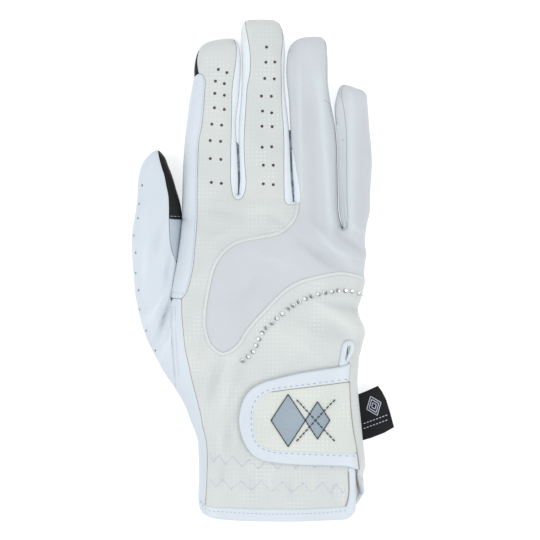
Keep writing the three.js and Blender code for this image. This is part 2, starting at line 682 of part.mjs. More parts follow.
// The hollow glove, open at the cuff and trimmed along the hem

const outer = wholeBody(0);
const hollow = wholeBody(-LEATHER);
const belowHem = prism([...hemLine, spot(farRight, farDown), spot(farLeft, farDown)], zLow, zTop);
const shell = outer.subtract(hollow).subtract(belowHem);

const above = prism(rectangle(farLeft, farDown, farRight, farTop), PALM_SEAM_HEIGHT + SEAM_GAP / 2, zTop);
const below = prism(rectangle(farLeft, farDown, farRight, farTop), zLow, PALM_SEAM_HEIGHT - SEAM_GAP / 2);
const seamRibbon = (line) => ribbon(line, PALM_SEAM_HEIGHT - SEAM_GAP, zTop);
const thumbCut = ribbon(thumbSeam, zLow, zTop);

// The slit at the little-finger side of the wrist
const slitPoint = (row, side, grow) => {
  const width = SLIT_WIDTH + (SLIT_MOUTH - SLIT_WIDTH) * row.wide;
  return spot(row.x * HAND_WIDTH + side * (width / 2 + grow), row.y * SLIT_LENGTH);
};
function slitOutline(grow) {
  const radius = SLIT_WIDTH / 2 + grow;
  const top = slitPoint(SLIT_LINE[0], 0, 0);
  const arc = [45, 90, 135].map((degrees) => {
    const angle = THREE.MathUtils.degToRad(degrees);
    return spot(top.x + radius * Math.cos(angle), top.y + radius * Math.sin(angle));
  });
  const right = SLIT_LINE.map((row) => slitPoint(row, 1, grow)).reverse();
  const left = SLIT_LINE.map((row) => slitPoint(row, -1, grow));
  return [...right, ...arc, ...left];
}
const slit = prism(slitOutline(0), PALM_SEAM_HEIGHT, zTop);

// Holes

// A punch upright through the back, or leaning out through the side of the thumb
const punch = () => new THREE.CylinderGeometry(PUNCH_DIAMETER / 2, PUNCH_DIAMETER / 2, zTop, PUNCH_SIDES);
const upright = (point) =>
  solidOf(punch().rotateX(Math.PI / 2).translate(point.x, point.y, (FINGER_THICKNESS + zTop) / 2));
function leaning(row) {
  const left = rowValue(thumb, "left", row.at);
  const right = rowValue(thumb, "right", row.at);
  const middle = onDigit(thumb, (left + right) / 2, row.at);
  const tool = punch().rotateX(Math.PI / 2).translate(0, 0, zTop / 2);
  tool.rotateY(-THREE.MathUtils.degToRad(row.lean));
  return solidOf(tool.translate(middle.x, middle.y, THUMB_THICKNESS * WIDEST_AT));
}
const pairHoles = (finger, rows) =>
  rows.flatMap((row) =>
    [row.first, row.second]
      .filter((across) => across !== undefined)
      .map((across) => upright(onDigit(finger, across, row.at))),
  );
const subtractAll = (solid, cutters) => cutters.reduce((left, cutter) => left.subtract(cutter), solid);

// Panels

const handShell = shell.subtract(prism(thumbRegion, zLow, zTop)).subtract(thumbCut);
const thumbShell = shell.intersect(prism(thumbRegion, zLow, zTop)).subtract(thumbCut);
const stripEnd = [spot(farLeft, stripEndY), spot(wrapSeam[wrapSeam.length - 1].x, stripEndY)];
const seamCuts = [
  wrapSeam,
  stripSeam,
  stripEnd,
  patchEdge,
  indexMiddleSeam,
  middleRingSeam,
  ringLittleSeam,
  dropSeam,
].map(seamRibbon);
const upperHand = subtractAll(handShell.intersect(above), [...seamCuts, slit]);
const lowerHand = handShell.intersect(below);
const region = (outline) => upperHand.intersect(prism(outline, zLow, zTop));
// Closes the palm seam where a piece runs on round the side of the hand
const bridge = (outline) =>
  subtractAll(
    handShell.intersect(prism(outline, PALM_SEAM_HEIGHT - SEAM_GAP, PALM_SEAM_HEIGHT + SEAM_GAP)),
    seamCuts,
  );

const backPanel = subtractAll(region(backRegion), [
  ...pairHoles(fingers.index, INDEX_PUNCHES),
  ...pairHoles(fingers.middle, MIDDLE_PUNCHES),
]);
const stretchPanel = region(stretchRegion);
const indexMiddleWall = region(indexMiddleSeam);
const middleRingWall = region(middleRingSeam);
const ringLittleWall = region(ringLittleSeam);
const sideStrip = region(stripRegion);

// The black patch covers the index fingertip from below and shows as a sliver beside it
const patchBack = fingers.index.root + fingers.index.length - TOUCH_PATCH_LENGTH;
const betweenFingers = fingers.index.x + fingers.index.width + FINGER_GAP / 2;
const patchBox = (gap) => prism(rectangle(farLeft, patchBack + gap, betweenFingers, farTop), zLow, zTop);
const sliverRegion = [...patchEdge, spot(farLeft, farTop), spot(farLeft, stripTop.y)];
const palm = lowerHand.subtract(patchBox(-SEAM_GAP / 2)).add(region(wrapRegion)).add(bridge(wrapRegion));
const touchPatch = lowerHand
  .add(bridge(sliverRegion))
  .intersect(patchBox(SEAM_GAP / 2))
  .add(region(sliverRegion));

const padPrism = prism(padRegion, zLow, zTop);
const padCut = ribbon(padSeam, zLow, zTop);
const splitY = thumb.root + PAD_SPLIT_AT * thumb.length;
const splitBand = rectangle(farLeft, splitY - SEAM_GAP / 2, farRight, splitY + SEAM_GAP / 2);
const splitCut = prism(splitBand, zLow, zTop);
const padShell = thumbShell.intersect(padPrism).subtract(padCut);
const thumbBack = subtractAll(thumbShell, [padPrism, padCut, ...THUMB_PUNCHES.map(leaning)]);
const thumbPatch = padShell
  .intersect(prism(rectangle(farLeft, splitY, farRight, farTop), zLow, zTop))
  .subtract(splitCut);
const thumbGusset = padShell
  .intersect(prism(rectangle(farLeft, farDown, farRight, splitY), zLow, zTop))
  .subtract(splitCut);

// A layer that lies on the hand, between two distances from its surface
const handLayer = (low, high) => handBody(high).subtract(handBody(low));

// The bound hem is a channel over the raw edge of the panels
const hemCurve = (shift) => hemLine.map((point) => spot(point.x, point.y + shift));
const hemStrip = (from, to) => prism([...hemCurve(from), ...hemCurve(to).reverse()], zLow, zTop);
const hemBand = hemStrip(-BINDING_LEATHER - SEAM_GAP, HEM_BAND);
const hemRoom = hemStrip(-SEAM_GAP, 2 * HEM_BAND);
const cuffBinding = handLayer(-LEATHER - SEAM_GAP - BINDING_LEATHER, SEAM_GAP + BINDING_LEATHER)
  .intersect(hemBand)
  .subtract(handLayer(-LEATHER - SEAM_GAP, SEAM_GAP).intersect(hemRoom))
  .subtract(slit);

const ventBinding = handLayer(SEAM_GAP, SEAM_GAP + BINDING_LEATHER)
  .intersect(prism(slitOutline(SLIT_BORDER), HAND_THICKNESS * WIDEST_AT, zTop))
  .subtract(slit)
  .subtract(hemStrip(-BEYOND / 2, HEM_BAND + SEAM_GAP));

// The closure tab lies on the slit's binding, sewn down at the right and held by its fastener at the left
const tabLow = 2 * SEAM_GAP + BINDING_LEATHER;
const tabRight = TAB_ROOT * HAND_WIDTH;
const tabEdge = smooth(
  TAB_EDGE.map((point) => spot(tabRight + point.along * TAB_LENGTH, TAB_CENTRE + point.across * TAB_WIDTH)),
);
// What lies inside the tab's edge by some distance, and runs on past its sewn end
function insideTab(inset) {
  const line = beside(tabEdge, inset);
  const past = (point) => spot(point.x + TAB_BORDER, point.y);
  return prism([past(line[0]), ...line, past(line[line.length - 1])], zLow, zTop);
}
const tabBody = handLayer(tabLow, tabLow + TAB_THICKNESS).intersect(prism(tabEdge, PALM_SEAM_HEIGHT, zTop));
const tabBinding = tabBody.subtract(insideTab(TAB_BORDER - SEAM_GAP / 2));
const tabPanel = tabBody.intersect(insideTab(TAB_BORDER + SEAM_GAP / 2));

const fastenerLeft = tabRight - TAB_LENGTH + TAB_BORDER;
const fastenerOutline = rectangle(
  fastenerLeft,
  TAB_CENTRE - FASTENER_WIDTH / 2,
  fastenerLeft + FASTENER_LENGTH,
  TAB_CENTRE + FASTENER_WIDTH / 2,
);
const fastener = handLayer(SEAM_GAP, SEAM_GAP + FASTENER_THICKNESS).intersect(
  prism(fastenerOutline, PALM_SEAM_HEIGHT, zTop),
);

// The folded label is caught in the side of the hand and stands out from it
const labelRoot = LABEL_ROOT * HAND_WIDTH;
const labelOutline = LABEL_CORNERS.map((corner) =>
  spot(labelRoot + corner.out * LABEL_REACH, LABEL_CENTRE + corner.up * LABEL_WIDTH),
);
const label = prism(labelOutline, LABEL_HEIGHT, LABEL_HEIGHT + LABEL_THICKNESS).subtract(handBody(SEAM_GAP));

// Stones

const seatMesh = new THREE.Mesh(geometryOf(outer), new THREE.MeshBasicMaterial({ side: THREE.DoubleSide }));
const ray = new THREE.Raycaster();
function seatAt(point) {
  ray.set(new THREE.Vector3(point.x, point.y, zTop), new THREE.Vector3(0, 0, -1));
  const hit = ray.intersectObject(seatMesh)[0];
  return { point: hit.point, normal: hit.face.normal };
}

function stoneGeometry() {
  const radius = STONE_DIAMETER / 2;
  const table = spot(radius * STONE_TABLE, STONE_HEIGHT);
  const profile = [spot(0, 0), spot(radius, 0), table, spot(0, STONE_HEIGHT)];
  return new THREE.LatheGeometry(profile, STONE_FACETS).rotateX(Math.PI / 2);
}

function geometryOf(solid) {
  const mesh = solid.getMesh();
  const geometry = new THREE.BufferGeometry();
  geometry.setAttribute("position", new THREE.BufferAttribute(new Float32Array(mesh.vertProperties), 3));
  geometry.setIndex(new THREE.BufferAttribute(new Uint32Array(mesh.triVerts), 1));
  return geometry;
}

// Colours and the assembly

const material = (color, roughness, metalness = 0) =>
  new THREE.MeshStandardMaterial({ color, roughness, metalness, flatShading: true });
const cream = material(0xe6e6de, 0.6);
const stretch = material(0xd2d6de, 0.8);
const white = material(0xe9eff5, 0.55);
const black = material(0x1c1d1c, 0.6);
const crystal = material(0xdfe6ea, 0.1, 0.3);

// The largest body of a cut, so that a crumb left by a cut isn't kept
function largest(solid) {
  return solid.decompose().sort((a, b) => b.volume() - a.volume())[0];
}

const glove = new THREE.Group();
function addPiece(name, solid, surface) {
  const mesh = new THREE.Mesh(geometryOf(largest(solid)), surface);
  mesh.name = name;
  glove.add(mesh);
  return mesh;
}

addPiece("back_panel", backPanel, cream);
addPiece("stretch_panel", stretchPanel, stretch);
addPiece("palm", palm, white);
addPiece("index_side_strip", sideStrip, white);
addPiece("fourchette_index_middle", indexMiddleWall, white);
addPiece("fourchette_middle_ring", middleRingWall, white);
addPiece("fourchette_ring_little", ringLittleWall, white);
addPiece("index_touch_patch", touchPatch, black);
addPiece("thumb_back", thumbBack, white);
addPiece("thumb_touch_patch", thumbPatch, black);
addPiece("thumb_gusset", thumbGusset, stretch);
addPiece("strap_panel", tabPanel, cream);
addPiece("strap_binding", tabBinding, white);
addPiece("strap_fastener", fastener, white);
addPiece("cuff_binding", cuffBinding, white);
addPiece("vent_binding", ventBinding, white);
addPiece("side_label", label, black);

const stoneLine = smooth(STONE_LINE.map(onHand), 1).map((point) => seatAt(point));
const stoneCurve = new THREE.CatmullRomCurve3(stoneLine.map((seat) => seat.point));
const stoneShape = solidOf(stoneGeometry());
for (let k = 0; k < STONE_COUNT; k++) {
  const place = stoneCurve.getPointAt(k / (STONE_COUNT - 1));
  const seat = seatAt(place);
  const stone = addPiece("rhinestone_" + String(k + 1).padStart(2, "0"), stoneShape, crystal);
  stone.quaternion.setFromUnitVectors(new THREE.Vector3(0, 0, 1), seat.normal);
  stone.position.copy(seat.point).addScaledVector(seat.normal, SEAM_GAP);
}

const bounds = new THREE.Box3().setFromObject(glove);
const centre = bounds.getCenter(new THREE.Vector3());
glove.position.set(-centre.x, -centre.y, -bounds.min.z);

export default glove;
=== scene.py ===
"""The looks of a right-hand riding glove that lies palm down on a pale floor.

Each panel is a closed sheet of leather or cloth with rolled edges, cut along its seams and laid on the
swelling surface of the glove. Lengths are millimetres until a mesh is made. Seams and outlines are given by
the columns and rows of the photograph, and place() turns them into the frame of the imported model.
"""
import math
import random

import bpy
import numpy as np
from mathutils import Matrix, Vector
from mathutils.geometry import delaunay_2d_cdt


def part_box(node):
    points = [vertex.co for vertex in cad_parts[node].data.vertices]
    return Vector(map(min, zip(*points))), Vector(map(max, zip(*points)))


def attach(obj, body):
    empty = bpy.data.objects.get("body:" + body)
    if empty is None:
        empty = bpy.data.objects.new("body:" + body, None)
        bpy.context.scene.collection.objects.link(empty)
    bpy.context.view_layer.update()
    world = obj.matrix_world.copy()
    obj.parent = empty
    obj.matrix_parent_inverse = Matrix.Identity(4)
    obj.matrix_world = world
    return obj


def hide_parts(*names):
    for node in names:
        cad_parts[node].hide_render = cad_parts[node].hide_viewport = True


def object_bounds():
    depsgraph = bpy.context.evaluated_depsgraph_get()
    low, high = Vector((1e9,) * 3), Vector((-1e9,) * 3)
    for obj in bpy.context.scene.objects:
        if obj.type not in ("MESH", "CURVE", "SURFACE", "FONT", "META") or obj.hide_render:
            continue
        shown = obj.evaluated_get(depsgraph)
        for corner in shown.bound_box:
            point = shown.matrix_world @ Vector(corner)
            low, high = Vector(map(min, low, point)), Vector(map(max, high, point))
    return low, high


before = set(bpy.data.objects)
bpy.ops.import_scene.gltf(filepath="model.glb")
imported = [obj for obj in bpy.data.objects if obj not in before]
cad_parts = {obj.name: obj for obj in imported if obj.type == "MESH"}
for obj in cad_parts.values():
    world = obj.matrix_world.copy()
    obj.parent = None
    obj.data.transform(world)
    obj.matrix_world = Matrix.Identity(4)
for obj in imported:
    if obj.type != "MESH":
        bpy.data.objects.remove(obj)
cad_low, cad_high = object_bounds()

# The photograph's scale and where the model's corner lies in it
MM = 0.001
PIXEL = 0.468
PHOTO_SIZE = 540
LEFT_COLUMN = 131.2
TOP_ROW = 18.93

# Fineness: spacing along outlines and between them, rows of points behind an outline, points to a batch
STEP = 0.9
FINE_STEP = 0.8
GRID = 1.15
FINE_GRID = 0.9
SPAN_POINTS = 12
RIMS = (0.05, 0.14, 0.28, 0.6, 1.1, 1.8)
RIM_CLEAR = 0.86
GRID_CLEAR = 0.45
SIDE_RIM = 0.25
AT_RIM = 0.001
CHUNK = 1500

# Sheets: thickness, radius of the rolled edge, and how they meet at the glove's sides
LEATHER = 1.1
STRETCH = 0.8
ROLL = 0.24
AT_SIDE = 0.05
UNDERLAP = 0.8
STRETCH_UNDERLAP = 0.9
FAR_IN = 9.0

# Levels above the back of the hand
LAP = 0.6
LAP_REACH = 3.6
STRIP_LIFT = 0.35
TAB_LEVEL = 2.6


def place(points):
    """Millimetres in the model's frame for columns and rows of the photograph."""
    points = np.asarray(points, float).reshape(-1, 2)
    x = cad_low.x / MM + (points[:, 0] - LEFT_COLUMN) * PIXEL
    y = cad_high.y / MM - (points[:, 1] - TOP_ROW) * PIXEL
    return np.column_stack([x, y])


def photo_row(points):
    return TOP_ROW + (cad_high.y / MM - points[:, 1]) / PIXEL


def photo_column(points):
    return LEFT_COLUMN + (points[:, 0] - cad_low.x / MM) / PIXEL


def resample(line, step):
    run = np.concatenate([[0], np.cumsum(np.linalg.norm(np.diff(line, axis=0), axis=1))])
    count = max(int(round(run[-1] / step)), 1)
    at = np.linspace(0, run[-1], count + 1)
    return np.column_stack([np.interp(at, run, line[:, k]) for k in range(line.shape[1])])


def curve(points, step=STEP):
    """Evenly spaced points of a smooth curve through the given ones."""
    p = np.asarray(points, float)
    p = np.vstack([2 * p[0] - p[1], p, 2 * p[-1] - p[-2]])
    t = np.concatenate([[0], np.cumsum(np.linalg.norm(np.diff(p, axis=0), axis=1) ** 0.5)])
    spans = []
    for i in range(1, len(p) - 2):
        u = np.linspace(t[i], t[i + 1], SPAN_POINTS, endpoint=False)[:, None]
        level = [p[i - 1 + k] + 0 * u for k in range(4)]
        for order in (1, 2):
            level = [
                ((t[i - 1 + k + order] - u) * level[k] + (u - t[i - 1 + k]) * level[k + 1])
                / (t[i - 1 + k + order] - t[i - 1 + k])
                for k in range(4 - order)
            ]
        spans.append(((t[i + 1] - u) * level[0] + (u - t[i]) * level[1]) / (t[i + 1] - t[i]))
    spans.append(p[-2:-1])
    return resample(np.vstack(spans), step)


# Outlines, in columns and rows of the photograph

THUMB_SIDE = [
    (198, 540), (198, 520), (198.3, 494), (199, 470), (198.6, 454), (197, 438), (191, 422), (185, 406),
    (176, 390), (165, 374), (156, 358), (148, 342), (142, 326), (138, 310), (135, 294), (133.6, 278),
    (132.2, 262), (131.3, 242), (132.2, 230), (134.6, 216), (137, 198), (137.4, 186), (138.8, 174),
    (141, 166), (144.8, 159), (149, 154.2), (154.5, 150.2), (158.5, 150.2), (162, 153.5), (165.2, 158),
    (168.2, 166), (171.4, 174), (174, 182), (176.2, 190), (178.7, 198), (180.7, 206), (182.3, 219),
]
INDEX_SIDE = [
    (182.3, 219), (182.6, 206), (183, 190), (183.4, 174), (184.3, 155), (186, 134), (188, 118), (190, 102),
    (191.6, 92), (194, 79), (194, 70), (195, 61), (196.8, 54), (200.3, 47), (205.5, 42.6), (216, 39.4),
    (226, 38.2), (233, 38.6), (236.6, 41), (239.2, 47), (240.4, 55), (240.6, 66), (240.2, 78), (239.4, 90),
    (238.3, 102), (237, 112), (236, 122), (236.2, 134), (237.2, 150), (238, 165), (238.5, 180),
    (238.6, 194.5),
]
MIDDLE_SIDE = [
    (238.6, 194.5), (239.7, 180), (239.4, 165), (238.8, 150), (238.6, 134), (239.2, 118), (240.2, 108),
    (241, 98), (241.8, 86), (242.2, 70), (241.9, 54), (241.2, 42), (241.1, 30), (243, 22.6), (247.6, 19.4),
    (254, 18.95), (268, 18.95), (275, 19.8), (280, 24), (283, 31), (284.6, 40), (285, 52), (284.5, 66),
    (284.3, 78), (285, 90), (286, 102), (287.2, 112), (288.6, 125), (289.6, 140), (290.3, 155), (291, 173),
    (292.2, 190), (293.6, 201.5),
]
RING_SIDE = [
    (293.6, 201.5), (293.6, 190), (292.3, 173), (291.5, 155), (290.9, 140), (290.2, 125), (289.5, 112),
    (289, 102), (288, 92), (286.9, 82), (286.3, 72), (286.8, 61), (288, 52), (290.2, 46), (294, 41.2),
    (300, 37.8), (308, 36.3), (316, 36), (322.5, 37), (326, 42), (327.2, 52), (327.9, 66), (327.8, 80),
    (329, 92), (330.8, 104), (332.6, 113), (334.4, 122), (336, 136), (337, 150), (337.5, 175), (337.9, 200),
    (338.8, 215), (342, 228),
]
LITTLE_SIDE = [
    (342, 228), (340.2, 215), (339, 200), (338.6, 175), (338, 150), (337, 136), (335.6, 122), (334.6, 112),
    (335, 103), (337, 94.5), (339.6, 87), (343, 84.2), (349, 85), (357, 87.8), (364, 90.6), (366.9, 94.5),
    (367.8, 104), (368.8, 116), (370, 132), (371.4, 146), (372.2, 164), (371.2, 180), (370.3, 195),
    (370, 212), (367.6, 222), (365.8, 232), (365.2, 245), (366.4, 254), (365, 264), (364, 278), (363.6, 288),
    (361, 299), (358, 309), (360, 318), (363.8, 326), (365, 334), (363, 342), (360.6, 352), (357.8, 362),
    (355.8, 374), (355.4, 384), (357, 398), (359, 415), (360.6, 432), (361.4, 450), (362.2, 466),
    (363.6, 480), (364, 494), (364, 520), (364, 540),
]
THUMB_SEAM = [
    (182.3, 219), (180.6, 238), (177.5, 262.4), (174.2, 281), (171.8, 298), (171.3, 312), (171.8, 332),
    (173.2, 356), (175, 378), (176, 390),
]
WRAP_SEAM = [
    (205.5, 503), (207, 482), (207, 443), (203, 425), (201, 413), (197.9, 400), (192.5, 379), (189.4, 364),
    (186.2, 350), (183.8, 329), (182.5, 313), (182.2, 298.6),
]
STRIP_SEAM = [
    (182.2, 298.6), (187, 292.6), (190.2, 283), (193.3, 268.7), (195.7, 245), (197.3, 219), (197.6, 178),
    (199.2, 140), (201.8, 126.6), (204.8, 92.7), (205.2, 80.6), (203, 75.6), (198.4, 74),
]
SLIVER_SEAM = [(198.4, 74), (197.3, 66), (197, 59), (198.6, 50)]
INDEX_SEAM = [
    (234.4, 39.1), (236.4, 46), (236.4, 56.4), (235.1, 68.5), (233.3, 80.6), (232.1, 92.7), (231.9, 111),
    (231.5, 129), (231.1, 147), (230.9, 165), (230.9, 180), (231.9, 189.6), (233.9, 196.9), (237.6, 200),
    (241.8, 198.1), (244.8, 192), (246, 182.4), (244.8, 165.4), (244, 147.2), (244.5, 129), (246, 104.8),
    (247.3, 86.6), (249.7, 74.5), (250.4, 64), (249.7, 50.3), (247.9, 39), (246, 29), (245.6, 20.6),
]
MIDDLE_SEAM = [
    (279, 22.9), (282, 30), (283, 41.8), (281.6, 53.9), (281.2, 66), (281.5, 80.6), (281.8, 104.8),
    (283.2, 123), (284, 141), (284, 165), (284.2, 189.6), (284.8, 201), (287, 204.2), (291, 205),
    (296, 204.6), (299.4, 203.4),
]
RING_WALL_SEAM = [(299.4, 203.4), (300, 197), (299, 187), (296.6, 172), (294, 158), (291.1, 146)]
LITTLE_SEAM = [
    (325.2, 40), (325.8, 50), (326.2, 70), (326.6, 84), (328.4, 98), (331.4, 114), (334, 130), (335.3, 150),
    (335.8, 175), (336, 200), (336.8, 214), (339.6, 226.6), (343, 230.6), (346, 228.6), (347.2, 221),
    (346.5, 200), (346.2, 180), (346.2, 150), (345.6, 128), (344, 112), (341.6, 99), (341.4, 91),
    (343.6, 84.3),
]
DROP_SEAM = [
    (299.4, 203.4), (298.8, 210), (297.1, 216), (293.3, 223.4), (286, 231), (278, 235.5), (260.2, 239.3),
    (243.6, 242.5), (232.1, 247.6), (223.2, 255.3), (216.8, 265.5), (213.6, 274.4), (211, 285.9),
    (207.9, 302.4), (206.6, 315.2), (207.2, 328), (209.8, 338.2), (214.2, 345.8), (219.3, 350.3),
    (224.4, 351.6), (230.8, 349), (238.5, 342), (244.8, 331.8), (252.5, 321.6), (261.4, 312), (271.6, 301.2),
    (283.1, 290.3), (295.9, 282), (308.6, 277.6), (322.7, 274.4), (336.7, 272.1), (346.9, 272.5),
    (355.8, 274.4), (364, 278.6),
]
PAD_SEAM = [
    (157.2, 150), (158.8, 153.4), (159.8, 158.4), (162.3, 167.6), (164.9, 175.7), (166.9, 185.9),
    (168.8, 195.1), (169.5, 205.3), (169.5, 218.6),
]
PAD_HEM = [(169.5, 218.6), (175.8, 219.4), (182.3, 219)]
GUSSET_SEAM = [(169.5, 218.6), (169.9, 232), (171.3, 246), (174, 256), (177.5, 262.4)]
HEM_LINE = [(198.7, 496.5), (205.5, 503), (232, 505.2), (269, 506.4), (310, 506), (336, 504.6), (352.4, 504)]
HEM_EDGE = [
    (198.3, 494), (199.4, 505), (203, 512), (212, 516), (226, 518), (248, 519.2), (270, 519.6), (300, 519.6),
    (325, 518.6), (340, 518), (347, 517), (352, 513.4), (354.6, 507),
]
UNDER_HEM = [
    (198.3, 494), (199.4, 505), (203, 512), (212, 516), (226, 518), (270, 519.6), (300, 519.6), (325, 518),
    (343, 515.6), (354, 509), (360, 502), (364, 494),
]
SLIT_LEFT = [
    (347.6, 341.5), (346.6, 352), (346.2, 366), (345, 384), (346.6, 408), (349.8, 438), (352.2, 455),
    (353.2, 470), (353.4, 488), (352.4, 504),
]
SLIT_RIGHT = [
    (347.6, 341.5), (347.4, 352), (346.9, 364), (345.5, 383), (347.2, 406.5), (350.6, 438), (353.2, 453),
    (355, 466), (358.2, 479), (362.4, 494),
]
FLAP_END = [(362.4, 494), (363.4, 494.2), (364, 494)]
TAB_OUTER = [
    (347.6, 362), (338.6, 365.4), (322, 368.3), (299.1, 372.1), (277.4, 377.2), (262.1, 381.7),
    (250.6, 388.7), (244.2, 397.6), (240.4, 409.1), (239.1, 419.3), (241, 432), (245.5, 443.5),
    (251.9, 452.4), (260.8, 458.2), (277.4, 461.4), (302.9, 463.3), (328.4, 463.9), (345, 465),
    (355.4, 468.6),
]
TAB_INNER = [
    (346.2, 381.4), (328.4, 383.6), (309.3, 386.1), (283.8, 389.3), (267.2, 392.5), (259.5, 398.9),
    (255.1, 409.1), (254.4, 419.3), (255.7, 432), (259.5, 441), (271, 446.7), (290.2, 448.6), (322, 449.9),
    (353.6, 452.4),
]
TAB_ROOT = [
    (347.6, 362), (346.2, 381.4), (347.2, 400), (349.4, 424), (353.6, 452.4), (355.4, 468.6),
]
LOOP_OUTER = [
    (338.4, 366), (339.6, 356), (341.2, 346), (343.4, 341.4), (347.5, 339.6), (351.8, 340), (353.8, 343.6),
    (353.6, 348), (350.5, 355), (347.8, 361.4), (347.2, 366),
]
LOOP_SLOT = [
    (347.2, 345.6), (349, 345.4), (349, 348), (347.4, 352.6), (345.6, 357.6), (344.6, 359.6), (344.7, 356),
    (346, 350),
]
LABEL_OUTLINE = [
    (355.2, 395.6), (366, 391.4), (378.2, 385.9), (382.4, 391.6), (386.4, 399.4), (390.6, 412.6),
    (394.6, 427.6), (385, 433), (372, 438), (360.4, 441.4),
]
STONES = 23

# Places on the outlines where one piece or finger ends and the next begins
THUMB_FORK = (171.8, 298)
STRIP_END = (194, 78)
PATCH_END = (240.2, 78)
INDEX_TOP = (236.6, 41)
MIDDLE_TOP = ((241.2, 36), (283.6, 34))
RING_TOP = ((288, 52), (326, 42))
LITTLE_TOP = (337, 94.5)


def near(line, point):
    return int(np.argmin(np.linalg.norm(line - place(point)[0], axis=1)))


def on(line, point):
    return line[near(line, point)]


def straight(start, end, step=STEP):
    return resample(np.vstack([start, end]), step)


def part_of(line, start, end):
    """The stretch of a line between the points nearest to two places of the photograph."""
    a, b = near(line, start), near(line, end)
    return line[a : b + 1] if a <= b else line[b : a + 1][::-1]


def seam(points, start=None, end=None):
    """A seam's line, tied at its ends to points of lines that it meets."""
    points = place(points)
    if start is not None:
        points[0] = start
    if end is not None:
        points[-1] = end
    return curve(points)


def loop(*lines):
    """A closed outline from lines that follow each other, without repeated points."""
    points = np.vstack([line[:-1] for line in lines])
    keep = np.linalg.norm(points - np.roll(points, 1, axis=0), axis=1) > 1e-6
    return points[keep]


thumb_side = curve(place(THUMB_SIDE))
index_side = curve(place(INDEX_SIDE))
middle_side = curve(place(MIDDLE_SIDE))
ring_side = curve(place(RING_SIDE))
little_side = curve(place(LITTLE_SIDE))
thumb_seam = seam(THUMB_SEAM, thumb_side[-1], on(thumb_side, THUMB_SEAM[-1]))
corner = place(THUMB_FORK)[0]
thumb_seam[near(thumb_seam, THUMB_FORK)] = corner
wrap_seam = seam(WRAP_SEAM)
strip_seam = seam(STRIP_SEAM)
strip_top = straight(strip_seam[-1], on(index_side, STRIP_END))
sliver_seam = seam(SLIVER_SEAM, None, on(index_side, SLIVER_SEAM[-1]))
index_seam = seam(INDEX_SEAM, on(index_side, INDEX_SEAM[0]), on(middle_side, INDEX_SEAM[-1]))
middle_seam = seam(MIDDLE_SEAM, on(middle_side, MIDDLE_SEAM[0]))
ring_wall_seam = seam(RING_WALL_SEAM, None, on(ring_side, RING_WALL_SEAM[-1]))
little_seam = seam(LITTLE_SEAM, on(ring_side, LITTLE_SEAM[0]), on(little_side, LITTLE_SEAM[-1]))
drop_seam = seam(DROP_SEAM, None, on(little_side, DROP_SEAM[-1]))
pad_seam = seam(PAD_SEAM, on(thumb_side, PAD_SEAM[0]))
pad_hem = seam(PAD_HEM, None, thumb_side[-1])
gusset_seam = seam(GUSSET_SEAM, None, on(thumb_seam, GUSSET_SEAM[-1]))
hem_line = seam(HEM_LINE, on(thumb_side, HEM_LINE[0]))
hem_line[near(hem_line, WRAP_SEAM[0])] = wrap_seam[0]
slit_left = seam(SLIT_LEFT, None, hem_line[-1])
slit_right = seam(SLIT_RIGHT, slit_left[0])
flap_end = seam(FLAP_END, slit_right[-1], on(little_side, FLAP_END[-1]))
tab_outer = seam(TAB_OUTER)
tab_inner = seam(TAB_INNER)

# The swelling surface

OUTER = [
    thumb_side,
    part_of(index_side, INDEX_SIDE[0], INDEX_TOP),
    part_of(middle_side, *MIDDLE_TOP),
    part_of(ring_side, *RING_TOP),
    part_of(little_side, LITTLE_TOP, LITTLE_SIDE[-1]),
]
GAPS = [
    part_of(index_side, INDEX_TOP, INDEX_SIDE[-1]),
    part_of(middle_side, MIDDLE_SIDE[0], MIDDLE_TOP[0]),
    part_of(middle_side, MIDDLE_TOP[1], MIDDLE_SIDE[-1]),
    part_of(ring_side, RING_SIDE[0], RING_TOP[0]),
    part_of(ring_side, RING_TOP[1], RING_SIDE[-1]),
    part_of(little_side, LITTLE_SIDE[0], LITTLE_TOP),
]
SILHOUETTE = OUTER + GAPS
THUMB_GAP = [part_of(thumb_seam, THUMB_SEAM[0], THUMB_FORK)]

# Photo rows from the fingertips to the hem, with the glove's thickness and how far in its edge rounds over
SWELL = np.array([
    (15, 13.0, 9.0), (40, 13.8, 9.5), (90, 14.0, 9.5), (120, 14.3, 9.5), (150, 15.0, 9.5), (180, 16.2, 10.5),
    (199, 17.4, 12.5), (210, 18.8, 14), (222, 20.6, 16), (235, 22.2, 18), (250, 23.4, 20), (300, 24.0, 21),
    (350, 22.8, 20), (400, 22.4, 19), (450, 22.8, 18), (540, 23.0, 17),
])
THUMB_SWELL = np.array([
    (140, 14.5, 8.0), (190, 15.8, 9.5), (240, 16.4, 10.5), (300, 17.4, 12), (360, 18.6, 14), (400, 21, 18),
    (450, 22.8, 18), (540, 23.0, 17),
])
# How far in the edges between the fingers round over, and how square the rounding is
GAP_ROUND = 9.0
THUMB_GAP_ROUND = 8.0
POWER = 2.9
UNDER_ROUND = 6.0
UNDER_POWER = 2.6
# Where top and underside meet, as a share of the thickness, and what is added to it between the fingers
WIDEST_AT = 0.44
BETWEEN_FINGERS = 0.22
# Columns over which the thumb's swelling gives way to the hand's, and rows over which its crease fades
THUMB_APART = 182.5
THUMB_BLEND = (8, 14)
CREASE_FADE = 0.72
CREASE_ROWS = (215, 300)
# The underside leaves the floor at the cuff
CUFF_LIFT = 1.2
CUFF_ROWS = (440, 515)

